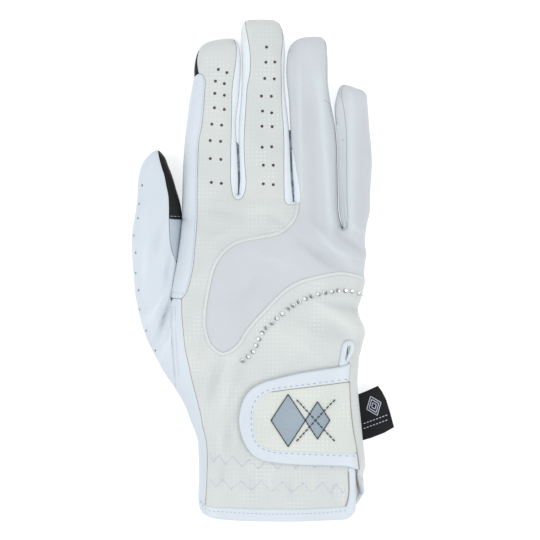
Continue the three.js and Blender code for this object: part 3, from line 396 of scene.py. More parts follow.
# Folds: middle column and row, turn in degrees from the columns' direction, half length, half width and rise
FOLDS = [
    (352, 309, -20, 24, 4.2, -1.7), (345, 322, -24, 26, 5.5, 1.7), (338, 334, -28, 22, 4.5, -1.2),
    (300, 345, -35, 30, 7.0, 0.8), (318, 330, -32, 26, 5.0, -0.8), (330, 308, -22, 26, 5.0, 0.9),
    (352, 244, -38, 22, 3.6, -1.6), (345, 256, -34, 26, 4.4, 1.4), (330, 262, -30, 24, 4.0, -1.0),
    (322, 236, -48, 18, 3.4, 1.0), (312, 250, -40, 24, 4.0, -0.9), (356, 228, -40, 14, 3.0, 1.2),
    (356, 262, -24, 12, 2.8, -1.1), (280, 262, -20, 26, 5.5, 0.6), (250, 290, 50, 22, 6.0, -0.6),
    (165, 316, 72, 19, 1.9, -2.4), (158, 306, 66, 16, 3.0, 1.2), (172, 330, 80, 20, 2.4, 0.8),
    (156, 336, 70, 18, 2.6, -0.7), (168, 270, 80, 16, 2.6, -1.2), (148, 318, 60, 16, 4.0, 1.0),
    (163, 352, 66, 16, 3.0, 1.0), (145, 262, 84, 22, 4.4, 0.9), (158, 240, 78, 18, 3.4, -1.0),
    (214, 382, 74, 22, 4.5, -1.3), (226, 396, 70, 24, 4.5, 1.1), (228, 366, 62, 22, 5.5, 0.9),
    (212, 350, 70, 18, 5.0, 0.7), (236, 380, 66, 20, 4.5, -0.9), (230, 432, 84, 20, 4.0, -1.1),
    (220, 446, 86, 16, 3.5, 0.9), (222, 472, 88, 15, 3.0, -0.9), (236, 478, 90, 15, 3.2, 0.8),
    (252, 480, 88, 14, 3.0, -0.8), (270, 482, 90, 14, 3.4, 0.7), (290, 484, 92, 13, 3.2, -0.7),
    (312, 484, 90, 13, 3.4, 0.7), (332, 486, 88, 13, 3.0, -0.7), (222, 212, -8, 22, 5.0, -0.5),
    (262, 208, 6, 22, 5.0, 0.5), (203, 330, 84, 24, 5.0, -0.6), (280, 222, -30, 16, 4.0, -0.7),
    (222, 236, 30, 16, 4.0, 0.5),
]
FOLD_BEND = 0.25
# Ridges of the stretch fabric along its fingers: rows from and to, columns there, half width and rise
RIDGES = [
    (60, 215, 299, 301, 3.8, 1.0), (40, 100, 308, 314, 4.6, 0.5), (66, 246, 319, 333, 5.6, 1.5),
    (95, 240, 309, 315, 5.5, -0.8), (88, 246, 351, 350, 5.4, 1.2), (108, 240, 363, 361, 4.0, -0.6),
]
# A ridge rises from so many rows before its start to so many after, and likewise at its end
RIDGE_START = (15, 20)
RIDGE_END = (30, 5)


def distance(points, lines):
    """The plain distance to the nearest of several lines."""
    a = np.vstack([line[:-1] for line in lines])
    b = np.vstack([line[1:] for line in lines])
    along = b - a
    square = np.maximum((along**2).sum(1), 1e-12)
    out = np.empty(len(points))
    for k in range(0, len(points), CHUNK):
        rel = points[k : k + CHUNK, None, :] - a[None]
        t = np.clip((rel * along).sum(2) / square, 0, 1)
        gap = rel - t[..., None] * along
        out[k : k + CHUNK] = np.sqrt((gap**2).sum(2).min(1))
    return out


def soft_distance(points, lines):
    """Close to a line it is the plain distance, and between lines it has no ridge."""
    a = np.vstack([line[:-1] for line in lines])
    b = np.vstack([line[1:] for line in lines])
    length = np.linalg.norm(b - a, axis=1)
    unit = (b - a) / length[:, None]
    least = 0.02
    out = np.empty(len(points))
    for k in range(0, len(points), CHUNK):
        rel = points[k : k + CHUNK, None, :] - a[None]
        s1 = -(rel * unit).sum(2)
        s2 = s1 + length
        h = np.maximum(np.abs(rel[..., 0] * unit[:, 1] - rel[..., 1] * unit[:, 0]), least)
        whole = 0
        for s, sign in ((s2, 1), (s1, -1)):
            whole = whole + sign * (s / (2 * h**2 * (h**2 + s**2)) + np.arctan(s / h) / (2 * h**3))
        out[k : k + CHUNK] = (2 * whole.sum(1) / np.pi) ** (-1 / 3)
    return np.sqrt(np.maximum(out**2 - least**2, 0))


def round_over(share, power):
    return (1 - (1 - np.clip(share, 0, 1)) ** power) ** (1 / power)


def ease(value, low, high):
    t = np.clip((value - low) / (high - low), 0, 1)
    return t * t * (3 - 2 * t)


def swell(points):
    """Thickness of the glove and reach of its rounded edge at each point."""
    row, column = photo_row(points), photo_column(points)
    hand = [np.interp(row, SWELL[:, 0], SWELL[:, k]) for k in (1, 2)]
    thumb = [np.interp(row, THUMB_SWELL[:, 0], THUMB_SWELL[:, k]) for k in (1, 2)]
    line = np.array(THUMB_SEAM)
    edge = np.interp(row, line[:, 1], line[:, 0])
    blend = ease(column, edge - THUMB_BLEND[0], edge + THUMB_BLEND[1])
    share = np.where(row < THUMB_SEAM[0][1], column > THUMB_APART, blend)
    return thumb[0] + (hand[0] - thumb[0]) * share, thumb[1] + (hand[1] - thumb[1]) * share


def folds(points):
    row, column = photo_row(points), photo_column(points)
    rise = np.zeros(len(points))
    for x, y, turn, long, wide, height in FOLDS:
        angle = math.radians(turn)
        dx, dy = column - x, y - row
        along = (dx * math.cos(angle) + dy * math.sin(angle)) / long
        across = (dy * math.cos(angle) - dx * math.sin(angle)) / wide
        rise += height * np.exp(-(along**2) - (across + FOLD_BEND * along**2) ** 2)
    for start, end, first, last, wide, height in RIDGES:
        middle = first + (last - first) * np.clip((row - start) / (end - start), 0, 1)
        ends = ease(row, start - RIDGE_START[0], start + RIDGE_START[1])
        ends *= 1 - ease(row, end - RIDGE_END[0], end + RIDGE_END[1])
        rise += height * ends * np.exp(-(((column - middle) / wide) ** 2))
    return rise


def border_height(points, thick):
    """Height of the line where upper and under side meet, which is higher between the fingers."""
    outer, gap = soft_distance(points, OUTER) ** 2, soft_distance(points, GAPS) ** 2
    return thick * (WIDEST_AT + BETWEEN_FINGERS * outer / np.maximum(outer + gap, 1e-6))


def top(points, folded=True):
    """Height of the glove's upper surface."""
    thick, reach = swell(points)
    strength = 1 - CREASE_FADE * ease(photo_row(points), *CREASE_ROWS)
    body = round_over(soft_distance(points, OUTER) / reach, POWER)
    body = body * round_over(soft_distance(points, GAPS) / GAP_ROUND, POWER)
    crease = round_over(soft_distance(points, THUMB_GAP) / THUMB_GAP_ROUND, POWER)
    body = body * (1 - strength * (1 - crease))
    low = border_height(points, thick)
    height = low + (thick - low) * body
    return height + (folds(points) * body if folded else 0)


def under(points):
    """Height of its underside, which rests on the floor."""
    thick, _ = swell(points)
    body = round_over(soft_distance(points, SILHOUETTE) / UNDER_ROUND, UNDER_POWER)
    lift = CUFF_LIFT * ease(photo_row(points), *CUFF_ROWS)
    return border_height(points, thick) * (1 - body) + lift * body


def inside(points, loops):
    """Whether points lie in an outline, holes left out."""
    odd = np.zeros(len(points), bool)
    for outline in loops:
        a, b = outline, np.roll(outline, -1, axis=0)
        for k in range(0, len(points), CHUNK):
            x, y = points[k : k + CHUNK, :1], points[k : k + CHUNK, 1:]
            cross = (a[:, 1] > y) != (b[:, 1] > y)
            rise = np.where(b[:, 1] == a[:, 1], 1, b[:, 1] - a[:, 1])
            at = a[:, 0] + (y - a[:, 1]) / rise * (b[:, 0] - a[:, 0])
            odd[k : k + CHUNK] ^= (cross & (x < at)).sum(1) % 2 == 1
    return odd


def flat_mesh(loops, grid=GRID, rims=RIMS):
    """Triangles that fill an outline with holes, with closer points along its edges."""
    closed = [np.vstack([line, line[:1]]) for line in loops]
    edges, rows = [], []
    start = 0
    for k, outline in enumerate(loops):
        count = len(outline)
        edges += [(start + i, start + (i + 1) % count) for i in range(count)]
        start += count
        ahead, behind = np.roll(outline, -1, axis=0), np.roll(outline, 1, axis=0)
        along = ahead - behind
        along /= np.maximum(np.linalg.norm(along, axis=1), 1e-9)[:, None]
        area = (outline[:, 0] * ahead[:, 1] - ahead[:, 0] * outline[:, 1]).sum()
        side = np.column_stack([-along[:, 1], along[:, 0]]) * (1 if (area > 0) == (k == 0) else -1)
        for rim in rims:
            row = outline + side * rim
            row = row[inside(row, loops)]
            keep = distance(row, closed) > RIM_CLEAR * rim
            if rim < SIDE_RIM:
                keep &= distance(row, SILHOUETTE) > SIDE_RIM
            rows.append(row[keep])
    low, high = loops[0].min(0), loops[0].max(0)
    cells = []
    for k, y in enumerate(np.arange(low[1], high[1], grid * math.sqrt(0.75))):
        x = np.arange(low[0] + (k % 2) * grid / 2, high[0], grid)
        cells.append(np.column_stack([x, np.full(len(x), y)]))
    cells = np.vstack(cells)
    cells = cells[inside(cells, loops)]
    cells = cells[distance(cells, closed) > (rims[-1] if rims else 0) + GRID_CLEAR * grid]
    whole = np.vstack([*loops, *rows, cells])
    found = delaunay_2d_cdt([Vector(p) for p in whole], edges, [], 0, 1e-5, False)
    flat = np.array([tuple(v) for v in found[0]])
    faces = np.array([f for f in found[2] if len(f) == 3])
    faces = faces[inside(flat[faces].mean(1), loops)]
    used = np.unique(faces)
    index = np.full(len(flat), -1)
    index[used] = np.arange(len(used))
    flat, faces = flat[used], index[faces]
    a, b, c = (flat[faces[:, k]] for k in range(3))
    ab, ac = b - a, c - a
    turned = ab[:, 0] * ac[:, 1] - ab[:, 1] * ac[:, 0] < 0
    faces[turned] = faces[turned][:, ::-1]
    return flat, faces, distance(flat, closed)


def normals_of(points, faces):
    a, b, c = (points[faces[:, k]] for k in range(3))
    across = np.cross(b - a, c - a)
    total = np.zeros_like(points)
    for k in range(3):
        np.add.at(total, faces[:, k], across)
    return total / np.maximum(np.linalg.norm(total, axis=1), 1e-12)[:, None]


def slab(loops, base, thick=LEATHER, lift=0.0, roll=ROLL, grid=GRID, rims=RIMS, below=False, joins=True):
    """A closed sheet on a surface: points, faces and each point's distance from the sheet's edge."""
    flat, faces, edge = flat_mesh(loops, grid, rims)
    points = np.column_stack([flat, base(flat)])
    normal = normals_of(points, faces) * (-1 if below else 1)
    roll = min(roll, thick / 2)
    turn = (thick / 2) * (1 - np.sqrt(np.clip(1 - (1 - np.clip(edge / roll, 0, 1)) ** 2, 0, 1)))
    turned_in = turn.copy()
    close = np.flatnonzero(edge < roll)
    joined = joins & (distance(flat[close], SILHOUETTE) < edge[close] + AT_SIDE)
    turn[close[joined]] = 0
    raised = lift(flat) if callable(lift) else lift
    outer = points + normal * (raised - turn)[:, None]
    inner = points + normal * (raised - thick + turned_in)[:, None]
    rim = edge < AT_RIM
    inner_number = np.arange(len(flat))
    inner_number[~rim] = len(flat) + np.arange((~rim).sum())
    out_faces, in_faces = faces, inner_number[faces][:, ::-1]
    if below:
        out_faces, in_faces = out_faces[:, ::-1], in_faces[:, ::-1]
    points = np.vstack([outer, inner[~rim]])
    return points, np.vstack([out_faces, in_faces]), np.concatenate([edge, edge[~rim]])


class Mesh:
    """Points and faces that are collected into one object."""

    def __init__(self):
        self.points, self.faces, self.edges, self.slots, self.tones = [], [], [], [], []
        self.count = 0

    def add(self, points, faces, edge=None, slot=0, tone=0.5):
        points = np.asarray(points, float)
        self.points.append(points)
        self.faces += [tuple(int(i) + self.count for i in face) for face in faces]
        self.edges.append(np.full(len(points), FAR_IN) if edge is None else edge)
        self.tones.append(np.full(len(points), tone) if np.isscalar(tone) else tone)
        self.slots += [slot] * len(faces)
        self.count += len(points)

    def lay(self, loops, base, slot=0, **sheet):
        """Adds a sheet of leather or cloth, cut along its outline and laid on a surface."""
        self.add(*slab(loops, base, **sheet), slot=slot)

    def make(self, name, materials, slot, *nodes):
        mesh = bpy.data.meshes.new(name)
        mesh.from_pydata((np.vstack(self.points) * MM).tolist(), [], self.faces)
        for material in materials:
            mesh.materials.append(material)
        mesh.polygons.foreach_set("material_index", self.slots)
        mesh.polygons.foreach_set("use_smooth", [True] * len(mesh.polygons))
        # The two faces of a sheet meet at a sharp rim
        ends = np.empty(len(mesh.edges) * 2, int)
        mesh.edges.foreach_get("vertices", ends)
        rim = (np.concatenate(self.edges)[ends.reshape(-1, 2)] < AT_RIM).all(axis=1)
        mesh.attributes.new("sharp_edge", "BOOLEAN", "EDGE").data.foreach_set("value", rim)
        relief = folds(np.vstack(self.points)[:, :2])
        for label, values in (("edge", self.edges), ("tone", self.tones), ("relief", [relief])):
            mesh.attributes.new(label, "FLOAT", "POINT").data.foreach_set("value", np.concatenate(values))
        mesh.update()
        made = bpy.data.objects.new(name, mesh)
        bpy.context.scene.collection.objects.link(made)
        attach(made, "root")
        if nodes:
            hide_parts(*nodes)


def frames_on(base, flat, along, lift):
    """Points on a surface with their directions along, across and out of it."""
    reach = 0.3
    ahead, behind = flat + along * reach, flat - along * reach
    side = np.column_stack([-along[:, 1], along[:, 0]])
    left, right = flat + side * reach, flat - side * reach
    heights = base(np.vstack([flat, ahead, behind, left, right])).reshape(5, -1)
    tangent = np.column_stack([2 * reach * along, heights[1] - heights[2]])
    across = np.column_stack([2 * reach * side, heights[3] - heights[4]])
    tangent /= np.linalg.norm(tangent, axis=1)[:, None]
    across /= np.linalg.norm(across, axis=1)[:, None]
    out = np.cross(tangent, across)
    out /= np.linalg.norm(out, axis=1)[:, None]
    return np.column_stack([flat, heights[0]]) + out * lift, tangent, across, out


def directions(line):
    along = np.gradient(line, axis=0)
    return along / np.maximum(np.linalg.norm(along, axis=1), 1e-9)[:, None]


def shifted(line, offset):
    """A line moved to its left by an offset."""
    along = directions(line)
    return line + np.column_stack([-along[:, 1], along[:, 0]]) * offset


def tube_faces(rings, sides):
    """Faces of a closed tube of so many rings of points."""
    faces = [
        (r * sides + k, r * sides + (k + 1) % sides, (r + 1) * sides + (k + 1) % sides, (r + 1) * sides + k)
        for r in range(rings - 1)
        for k in range(sides)
    ]
    return faces + [tuple(range(sides))[::-1], tuple((rings - 1) * sides + k for k in range(sides))]


def around(across, out, sides):
    """The directions from a tube's middle to the points of one of its rings."""
    turns = [2 * math.pi * k / sides for k in range(sides)]
    return [across * math.cos(turn) + out * math.sin(turn) for turn in turns]


# A short thread's rings: place along its length, size and drop as shares of its width
CAPSULE = ((-0.5, 0.3, -0.5), (-0.34, 0.9, -0.05), (0, 1, 0.1), (0.34, 0.9, -0.05), (0.5, 0.3, -0.5))
SIDES = 6
# Width and sinking of the dark mark that is a needle hole's painted shadow
HOLE_SHADOW_WIDTH = 0.16
HOLE_SHADOW_DEPTH = 0.1


def capsule(centre, tangent, across, out, length, width):
    """One short thread, or the shadow of a needle hole."""
    points = [
        centre + tangent * share * length + out * drop * width + width * size * spoke
        for share, size, drop in CAPSULE
        for spoke in around(across, out, SIDES)
    ]
    return points, tube_faces(len(CAPSULE), SIDES)


def stitches(mesh, line, base, pitch, length, width, lift, slot=0, hole_shadow_slot=None, gap=0.4):
    """Threads laid end to end along a line, with a dark mark between each two, the painted shadow of a
    needle hole.
    """
    run = resample(line, pitch)
    middle = (run[:-1] + run[1:]) / 2
    along = (run[1:] - run[:-1]) / np.linalg.norm(run[1:] - run[:-1], axis=1)[:, None]
    for frame_at in zip(*frames_on(base, middle, along, lift)):
        mesh.add(*capsule(*frame_at, length, width), slot=slot, tone=random.random())
    if hole_shadow_slot is not None:
        for frame_at in zip(*frames_on(base, run[:-1], along, lift - HOLE_SHADOW_DEPTH)):
            mesh.add(*capsule(*frame_at, gap, HOLE_SHADOW_WIDTH), slot=hole_shadow_slot)


def thread(mesh, line, base, radius, lift, slot=0, sides=SIDES):
    """A thin cord laid along a line on a surface."""
    centre, _, across, out = frames_on(base, line, directions(line), lift)
    points = [
        c + radius * spoke
        for c, a, o in zip(centre, across, out)
        for spoke in around(a, o, sides)
    ]
    mesh.add(points, tube_faces(len(centre), sides), slot=slot)


# Materials


def node(tree, kind, inputs=None, **settings):
    made = tree.nodes.new(kind)
    for key, value in settings.items():
        setattr(made, key, value)
    for key, value in (inputs or {}).items():
        if isinstance(value, bpy.types.NodeSocket):
            tree.links.new(value, made.inputs[key])
        else:
            made.inputs[key].default_value = value
    return made


def maths(tree, operation, *values):
    return node(tree, "ShaderNodeMath", dict(enumerate(values)), operation=operation).outputs[0]


def mixed(tree, share, first, second):
    made = node(tree, "ShaderNodeMix", data_type="RGBA")
    for key, value in ((0, share), (6, first), (7, second)):
        if isinstance(value, bpy.types.NodeSocket):
            tree.links.new(value, made.inputs[key])
        else:
            made.inputs[key].default_value = value if key == 0 else (*value, 1)
    return made.outputs[2]


def vector(tree, operation, value, other=None):
    inputs = {0: value}
    if other is not None:
        inputs["Scale" if operation == "SCALE" else 1] = other
    made = node(tree, "ShaderNodeVectorMath", inputs, operation=operation)
    return made.outputs["Value" if operation == "LENGTH" else 0]


def ramp(tree, value, low, high, kind="LINEAR"):
    """0 at one value, 1 at the other."""
    limits = {"Value": value, "From Min": low, "From Max": high}
    return node(tree, "ShaderNodeMapRange", limits, interpolation_type=kind).outputs[0]


def noise(tree, where, scale, detail):
    inputs = {"Vector": where, "Scale": scale, "Detail": detail}
    return node(tree, "ShaderNodeTexNoise", inputs).outputs["Fac"]


def kept(tree, name):
    """A value that each point of a mesh carries."""
    return node(tree, "ShaderNodeAttribute", attribute_name=name).outputs["Fac"]


# How bright a white surface that faces the camera is in this light
LIGHT = 1.12


def linear(*srgb):
    """The surface colour that shows as this colour of the photograph, given in 0 to 255."""
    return tuple(((c / 255 + 0.055) / 1.055) ** 2.4 / LIGHT for c in srgb)


def times(colour, factor):
    return tuple(min(c * factor, 1) for c in colour)


# Relief, in millimetres, from which a fold's crest is painted paler, as painted highlight, and its hollow
# darker, as painted shade
CREST_PAINTED_LIGHT = (0.1, 1.6)
HOLLOW_PAINTED_SHADE = (-0.1, -2.4)
# Distance from a seam over which it darkens as painted shade and dirt, size of an embossed dot, and the
# patches where dots show paler
SEAM_SHADE = (0.34, 0.05)
DOT_EDGE = (0.38, 0.16)
DOT_PATCH = (0.42, 0.62)
ROUGH_SPREAD = 0.08


def material(name, colour, dark, rough, bump=0.1, grain=2.2, knit=0.0, dots=0.0, sheen=0.0, seam_dark=None,
             rough_spread=ROUGH_SPREAD, gloss=0.5, crest_highlight_colour=None):
    """Leather or cloth: broad colour changes, grain, optional knit and raised dots, fold crests and hollows
    painted paler and darker as painted highlight and shade, and seams darker as painted shade and dirt.
    """
    colour, dark = linear(*colour), linear(*dark)
    made = bpy.data.materials.new(name)
    made.use_nodes = True
    tree = made.node_tree
    shader = tree.nodes["Principled BSDF"]
    where = node(tree, "ShaderNodeTexCoord").outputs["Object"]
    where = vector(tree, "SCALE", where, 1 / MM)
    wide = ramp(tree, noise(tree, where, 0.04, 3.0), 0.3, 0.7)
    fine = noise(tree, where, grain, 4.0)
    cells = node(tree, "ShaderNodeTexVoronoi", {"Vector": where, "Scale": grain}).outputs["Distance"]
    paint = mixed(tree, wide, dark, colour)
    paint = mixed(tree, maths(tree, "MULTIPLY", fine, 0.25), paint, times(colour, 0.9))
    height = maths(tree, "ADD", maths(tree, "MULTIPLY", fine, 0.5), maths(tree, "MULTIPLY", cells, 0.5))
    # Fold crests painted paler and hollows darker: painted highlight and painted shade
    rise = kept(tree, "relief")
    crest = linear(*crest_highlight_colour) if crest_highlight_colour else times(colour, 1.05)
    paint = mixed(tree, ramp(tree, rise, *CREST_PAINTED_LIGHT), paint, crest)
    paint = mixed(tree, ramp(tree, rise, *HOLLOW_PAINTED_SHADE), paint, times(dark, 0.86))
    if knit:
        axes = node(tree, "ShaderNodeSeparateXYZ", {0: where})
        up = maths(tree, "SINE", maths(tree, "MULTIPLY", axes.outputs[0], 2 * math.pi / knit))
        over = maths(tree, "SINE", maths(tree, "MULTIPLY", axes.outputs[1], 2 * math.pi / (knit * 0.8)))
        weave = maths(tree, "MULTIPLY", up, over)
        height = maths(tree, "MULTIPLY", height, 0.6)
        height = maths(tree, "ADD", height, maths(tree, "MULTIPLY", weave, 0.35))
        paint = mixed(tree, maths(tree, "MULTIPLY_ADD", weave, 0.06, 0.06), paint, times(dark, 0.82))
    if dots:
        cell = vector(tree, "FRACTION", vector(tree, "SCALE", where, 1 / dots))
        cell = vector(tree, "MULTIPLY", vector(tree, "SUBTRACT", cell, (0.5, 0.5, 0)), (1, 1, 0))
        dot = ramp(tree, vector(tree, "LENGTH", cell), *DOT_EDGE, "SMOOTHSTEP")
        patch = ramp(tree, noise(tree, where, 0.07, 1.0), *DOT_PATCH)
        pale = maths(tree, "MULTIPLY", dot, maths(tree, "MULTIPLY_ADD", patch, 0.65, 0.05))
        deep = maths(tree, "MULTIPLY", dot, maths(tree, "MULTIPLY_ADD", patch, -0.3, 0.3))
        paint = mixed(tree, pale, paint, times(colour, 1.1))
        paint = mixed(tree, deep, paint, times(dark, 0.88))
        height = maths(tree, "ADD", maths(tree, "MULTIPLY", height, 0.45), maths(tree, "MULTIPLY", dot, 0.5))
        tone = maths(tree, "MULTIPLY_ADD", kept(tree, "tone"), 2.0, -1.0)
        paint = mixed(tree, maths(tree, "MAXIMUM", tone, 0.0), paint, times(colour, 1.06))
    # Darker towards the sheet's edge at seams: painted shade, with dirt
    if seam_dark:
        near_seam = ramp(tree, kept(tree, "edge"), *SEAM_SHADE, "SMOOTHSTEP")
        paint = mixed(tree, maths(tree, "MULTIPLY", near_seam, 0.6), paint, linear(*seam_dark))
    tree.links.new(paint, shader.inputs["Base Color"])
    sheet_rough = maths(tree, "MULTIPLY_ADD", fine, rough_spread, rough - rough_spread / 2)
    tree.links.new(sheet_rough, shader.inputs["Roughness"])
    relief = node(tree, "ShaderNodeBump", {"Height": height, "Strength": bump, "Distance": 0.25 * MM})
    tree.links.new(relief.outputs[0], shader.inputs["Normal"])
    shader.inputs["Sheen Weight"].default_value = sheen
    shader.inputs["Sheen Roughness"].default_value = 0.4
    shader.inputs["Specular IOR Level"].default_value = gloss
    made.diffuse_color = (*colour, 1)
    return made


DOT_PITCH = 1.92

cream = material("cream_embossed", (216, 221, 220), (208, 214, 214), 0.55, bump=0.3, dots=DOT_PITCH,
                 seam_dark=(196, 192, 182))
cream_tab = material("cream_tab", (221, 226, 221), (213, 219, 215), 0.5, bump=0.3, dots=DOT_PITCH,
                     seam_dark=(190, 184, 170))
# The walls' white leather is painted lighter than the rest, as painted light against the shade between the
# fingers
white_wall_painted_lighter = material("white_wall_painted_lighter", (235, 243, 250), (229, 238, 245), 0.6, bump=0.2, grain=1.6, gloss=0.3)
white = material("white_nappa", (219, 228, 237), (211, 221, 230), 0.58, bump=0.22, grain=1.6, gloss=0.35,
                 seam_dark=(208, 217, 226))
band = material("white_band", (220, 229, 237), (213, 223, 232), 0.38, bump=0.12, grain=2.6,
                seam_dark=(204, 213, 222))
band_grey = material("grey_band", (206, 213, 224), (196, 204, 216), 0.5, bump=0.14, grain=2.6,
                     seam_dark=(170, 178, 190))
stretch = material("stretch_knit", (213, 219, 224), (206, 213, 219), 0.8, bump=0.35, knit=0.5, sheen=0.15,
                   seam_dark=(196, 204, 210), crest_highlight_colour=(217, 227, 230))
lavender = material("gusset_knit", (190, 202, 212), (180, 192, 203), 0.8, bump=0.35, knit=0.5, sheen=0.15,
                    seam_dark=(140, 150, 160))
black = material("black_grain", (24, 27, 26), (15, 17, 17), 0.6, bump=0.5, grain=1.5,
                 seam_dark=(16, 16, 16), gloss=0.25)
label_cloth = material("label_weave", (36, 37, 40), (22, 23, 26), 0.7, bump=0.6, knit=0.4, gloss=0.2)
thread_pale = material("thread_pale", (212, 218, 234), (200, 206, 226), 0.5, bump=0.3, grain=6)
thread_zigzag = material("thread_zigzag", (222, 224, 242), (212, 214, 236), 0.5, bump=0.3, grain=6)
# Blue-grey stitch marks: beside pale threads they are the painted shadow of needle holes
blue_thread_and_hole_shadow = material("blue_thread_and_hole_shadow", (166, 178, 196), (150, 162, 182), 0.5, bump=0.3, grain=6)
thread_brown = material("thread_brown", (176, 168, 152), (156, 148, 132), 0.6, bump=0.3, grain=6)
thread_dark = material("thread_dark", (62, 66, 72), (48, 52, 58), 0.5, bump=0.3, grain=6)
glitter = material("glitter_grey", (160, 176, 188), (142, 160, 173), 0.35, bump=0.8, grain=4,
                   rough_spread=0.3, gloss=0.6)
lining = material("lining_knit", (232, 222, 222), (222, 208, 208), 0.8, bump=0.4, knit=0.6, sheen=0.2)
hole_shadow_lining = material("hole_shadow_lining", (140, 120, 110), (116, 98, 90), 0.9, bump=0.3)
# Grey of the folds deep between the fingers: painted shade
gap_painted_shade = material("fold_painted_shade", (160, 167, 174), (136, 143, 150), 0.9, bump=0.2)
hook = material("hook_tape", (226, 230, 234), (214, 219, 224), 0.85, bump=0.9, knit=0.7, sheen=0.2)


def crystal():
    made = bpy.data.materials.new("cut_crystal")
    made.use_nodes = True
    tree = made.node_tree
    shader = tree.nodes["Principled BSDF"]
    where = node(tree, "ShaderNodeTexCoord").outputs["Object"]
    # Facets run from dark to white by their tone and a fine noise: painted reflections and sparkle
    spark = noise(tree, where, 900.0, 1.0)
    share = maths(tree, "MULTIPLY_ADD", spark, 0.3, maths(tree, "MULTIPLY", kept(tree, "tone"), 0.85))
    tree.links.new(mixed(tree, share, linear(40, 46, 54), (1.0, 1.0, 1.0)), shader.inputs["Base Color"])
    tree.links.new(maths(tree, "MULTIPLY_ADD", spark, 0.1, 0.02), shader.inputs["Roughness"])
    shader.inputs["Metallic"].default_value = 0.45
    shader.inputs["Coat Weight"].default_value = 1.0
    shader.inputs["Coat Roughness"].default_value = 0.03
    return made


gem = crystal()

random.seed(7)

# Punched holes: size of a round one, size and narrowness of the thumb's, corners, and the dark disc behind,
# the lining coloured as painted shadow
PUNCH = 1.3
THUMB_PUNCH = 1.15
THUMB_PUNCH_WIDTH = 0.6
PUNCH_SIDES = 10
LINING_SHADOW_DISC = 1.75
LINING_SHADOW_LEVEL = 0.25 - LEATHER


def hole(spot, size=PUNCH, width=1.0):
    """A punched hole's outline, its width a share of its size."""
    angles = -2 * math.pi * np.arange(PUNCH_SIDES) / PUNCH_SIDES
    return np.column_stack([np.cos(angles) * width, np.sin(angles)]) * size / 2 + place(spot)


INDEX_PUNCHES = [
    (218.5, 69.9), (227.1, 73.1), (215.6, 81.6), (224.5, 84.1), (215, 93.8), (224.6, 95.7), (214.7, 108.1),
    (224.5, 109.8), (212, 124.5), (221.8, 125.5), (210.4, 140.9), (220.8, 141.7), (210.5, 158.9),
    (221, 159.7), (211.6, 182.7), (221.6, 183.6),
]
MIDDLE_PUNCHES = [
    (266.6, 47.6), (265.9, 62.7), (275, 62.4), (264.8, 78.9), (274.4, 79.3), (261.5, 96.5), (271.4, 96.7),
    (262.6, 111.5), (271.7, 113.2), (262, 126.6), (272.2, 127), (262.2, 147.6), (271.7, 147.1),
    (263.4, 165.5), (273.3, 165.5), (263.4, 184.1), (273.3, 184.9),
]
THUMB_PUNCHES = [
    (142, 185.5), (138.8, 204), (137.9, 218.3), (133.8, 235.5), (135.7, 252.8), (135.6, 273), (138.6, 290.2),
    (139.6, 309.5), (146.2, 330.6), (155.2, 350.5),
]


def punched(mesh, spots, loops, **shape):
    """Cuts holes in an outline and backs each with a dark closed disc, the lining coloured as painted
    shadow.
    """
    for spot in spots:
        loops.append(hole(spot, **shape))
        disc = [hole(spot, size=LINING_SHADOW_DISC)[::-1]]
        points, faces, _ = slab(disc, top, thick=0.3, lift=LINING_SHADOW_LEVEL, roll=0.1, grid=0.8, rims=())
        mesh.add(points, faces, slot=1)


# Rows where the cream panel rises to the tab's sewn end and falls again, and columns to the right of it
SHOULDER_RISE = (352, 366)
SHOULDER_FALL = (464, 476)
SHOULDER_EDGE = 0.6
SHOULDER_OUT = (2, 15)


def tab_shoulder(flat):
    row, column = photo_row(flat), photo_column(flat)
    out = column - np.interp(row, [p[1] for p in SLIT_RIGHT], [p[0] for p in SLIT_RIGHT])
    rows = ease(row, *SHOULDER_RISE) * (1 - ease(row, *SHOULDER_FALL))
    return TAB_LEVEL * rows * (out > -SHOULDER_EDGE) * (1 - ease(out, *SHOULDER_OUT))


def lap_lift(flat):
    """The cream panel stands proud along the drop-shaped seam, and beside the tab's sewn end."""
    return LAP * np.exp(-((distance(flat, [drop_seam]) / LAP_REACH) ** 2)) + tab_shoulder(flat)


# The cream panel, its edge paler where it is turned in along the drop-shaped seam
TURNED_EDGE = (0.5, 0.9)
back = Mesh()
back_loops = [loop(
    wrap_seam, strip_seam, sliver_seam,
    part_of(index_side, SLIVER_SEAM[-1], INDEX_SEAM[0]), index_seam,
    part_of(middle_side, INDEX_SEAM[-1], MIDDLE_SEAM[0]), middle_seam, drop_seam,
    part_of(little_side, DROP_SEAM[-1], FLAP_END[-1]), flap_end[::-1], slit_right[::-1], slit_left,
    shifted(part_of(hem_line, HEM_LINE[-1], WRAP_SEAM[0]), UNDERLAP),
)]
punched(back, INDEX_PUNCHES + MIDDLE_PUNCHES, back_loops)
shape, faces, edge = slab(back_loops, top, lift=lap_lift)
turned = 1 - ease(distance(shape[:, :2], [drop_seam]), *TURNED_EDGE)
back.add(shape, faces, edge, tone=0.5 + 0.5 * turned)
back.make("back_cream", [cream, hole_shadow_lining], "cream_leather", "back_panel")

# The stretch fabric, which runs a little under the cream
stretch_mesh = Mesh()
under_lap = shifted(drop_seam, -STRETCH_UNDERLAP)
under_lap[0], under_lap[-1] = drop_seam[0], drop_seam[-1]
stretch_mesh.lay([loop(
    under_lap[::-1], ring_wall_seam, part_of(ring_side, RING_WALL_SEAM[-1], LITTLE_SEAM[0]), little_seam,
    part_of(little_side, LITTLE_SEAM[-1], DROP_SEAM[-1]),
)[::-1]], top, thick=STRETCH)
stretch_mesh.make("stretch_knuckles", [stretch], "stretch_fabric", "stretch_panel")

# The strip along the index finger
strip = Mesh()
strip.lay([loop(
    thumb_seam[: near(thumb_seam, THUMB_FORK) + 1][::-1],
    part_of(index_side, INDEX_SIDE[0], STRIP_END), strip_top[::-1], strip_seam[::-1],
    straight(strip_seam[0], corner),
)[::-1]], top, lift=STRIP_LIFT)
strip.make("index_strip", [white], "white_leather", "index_side_strip")

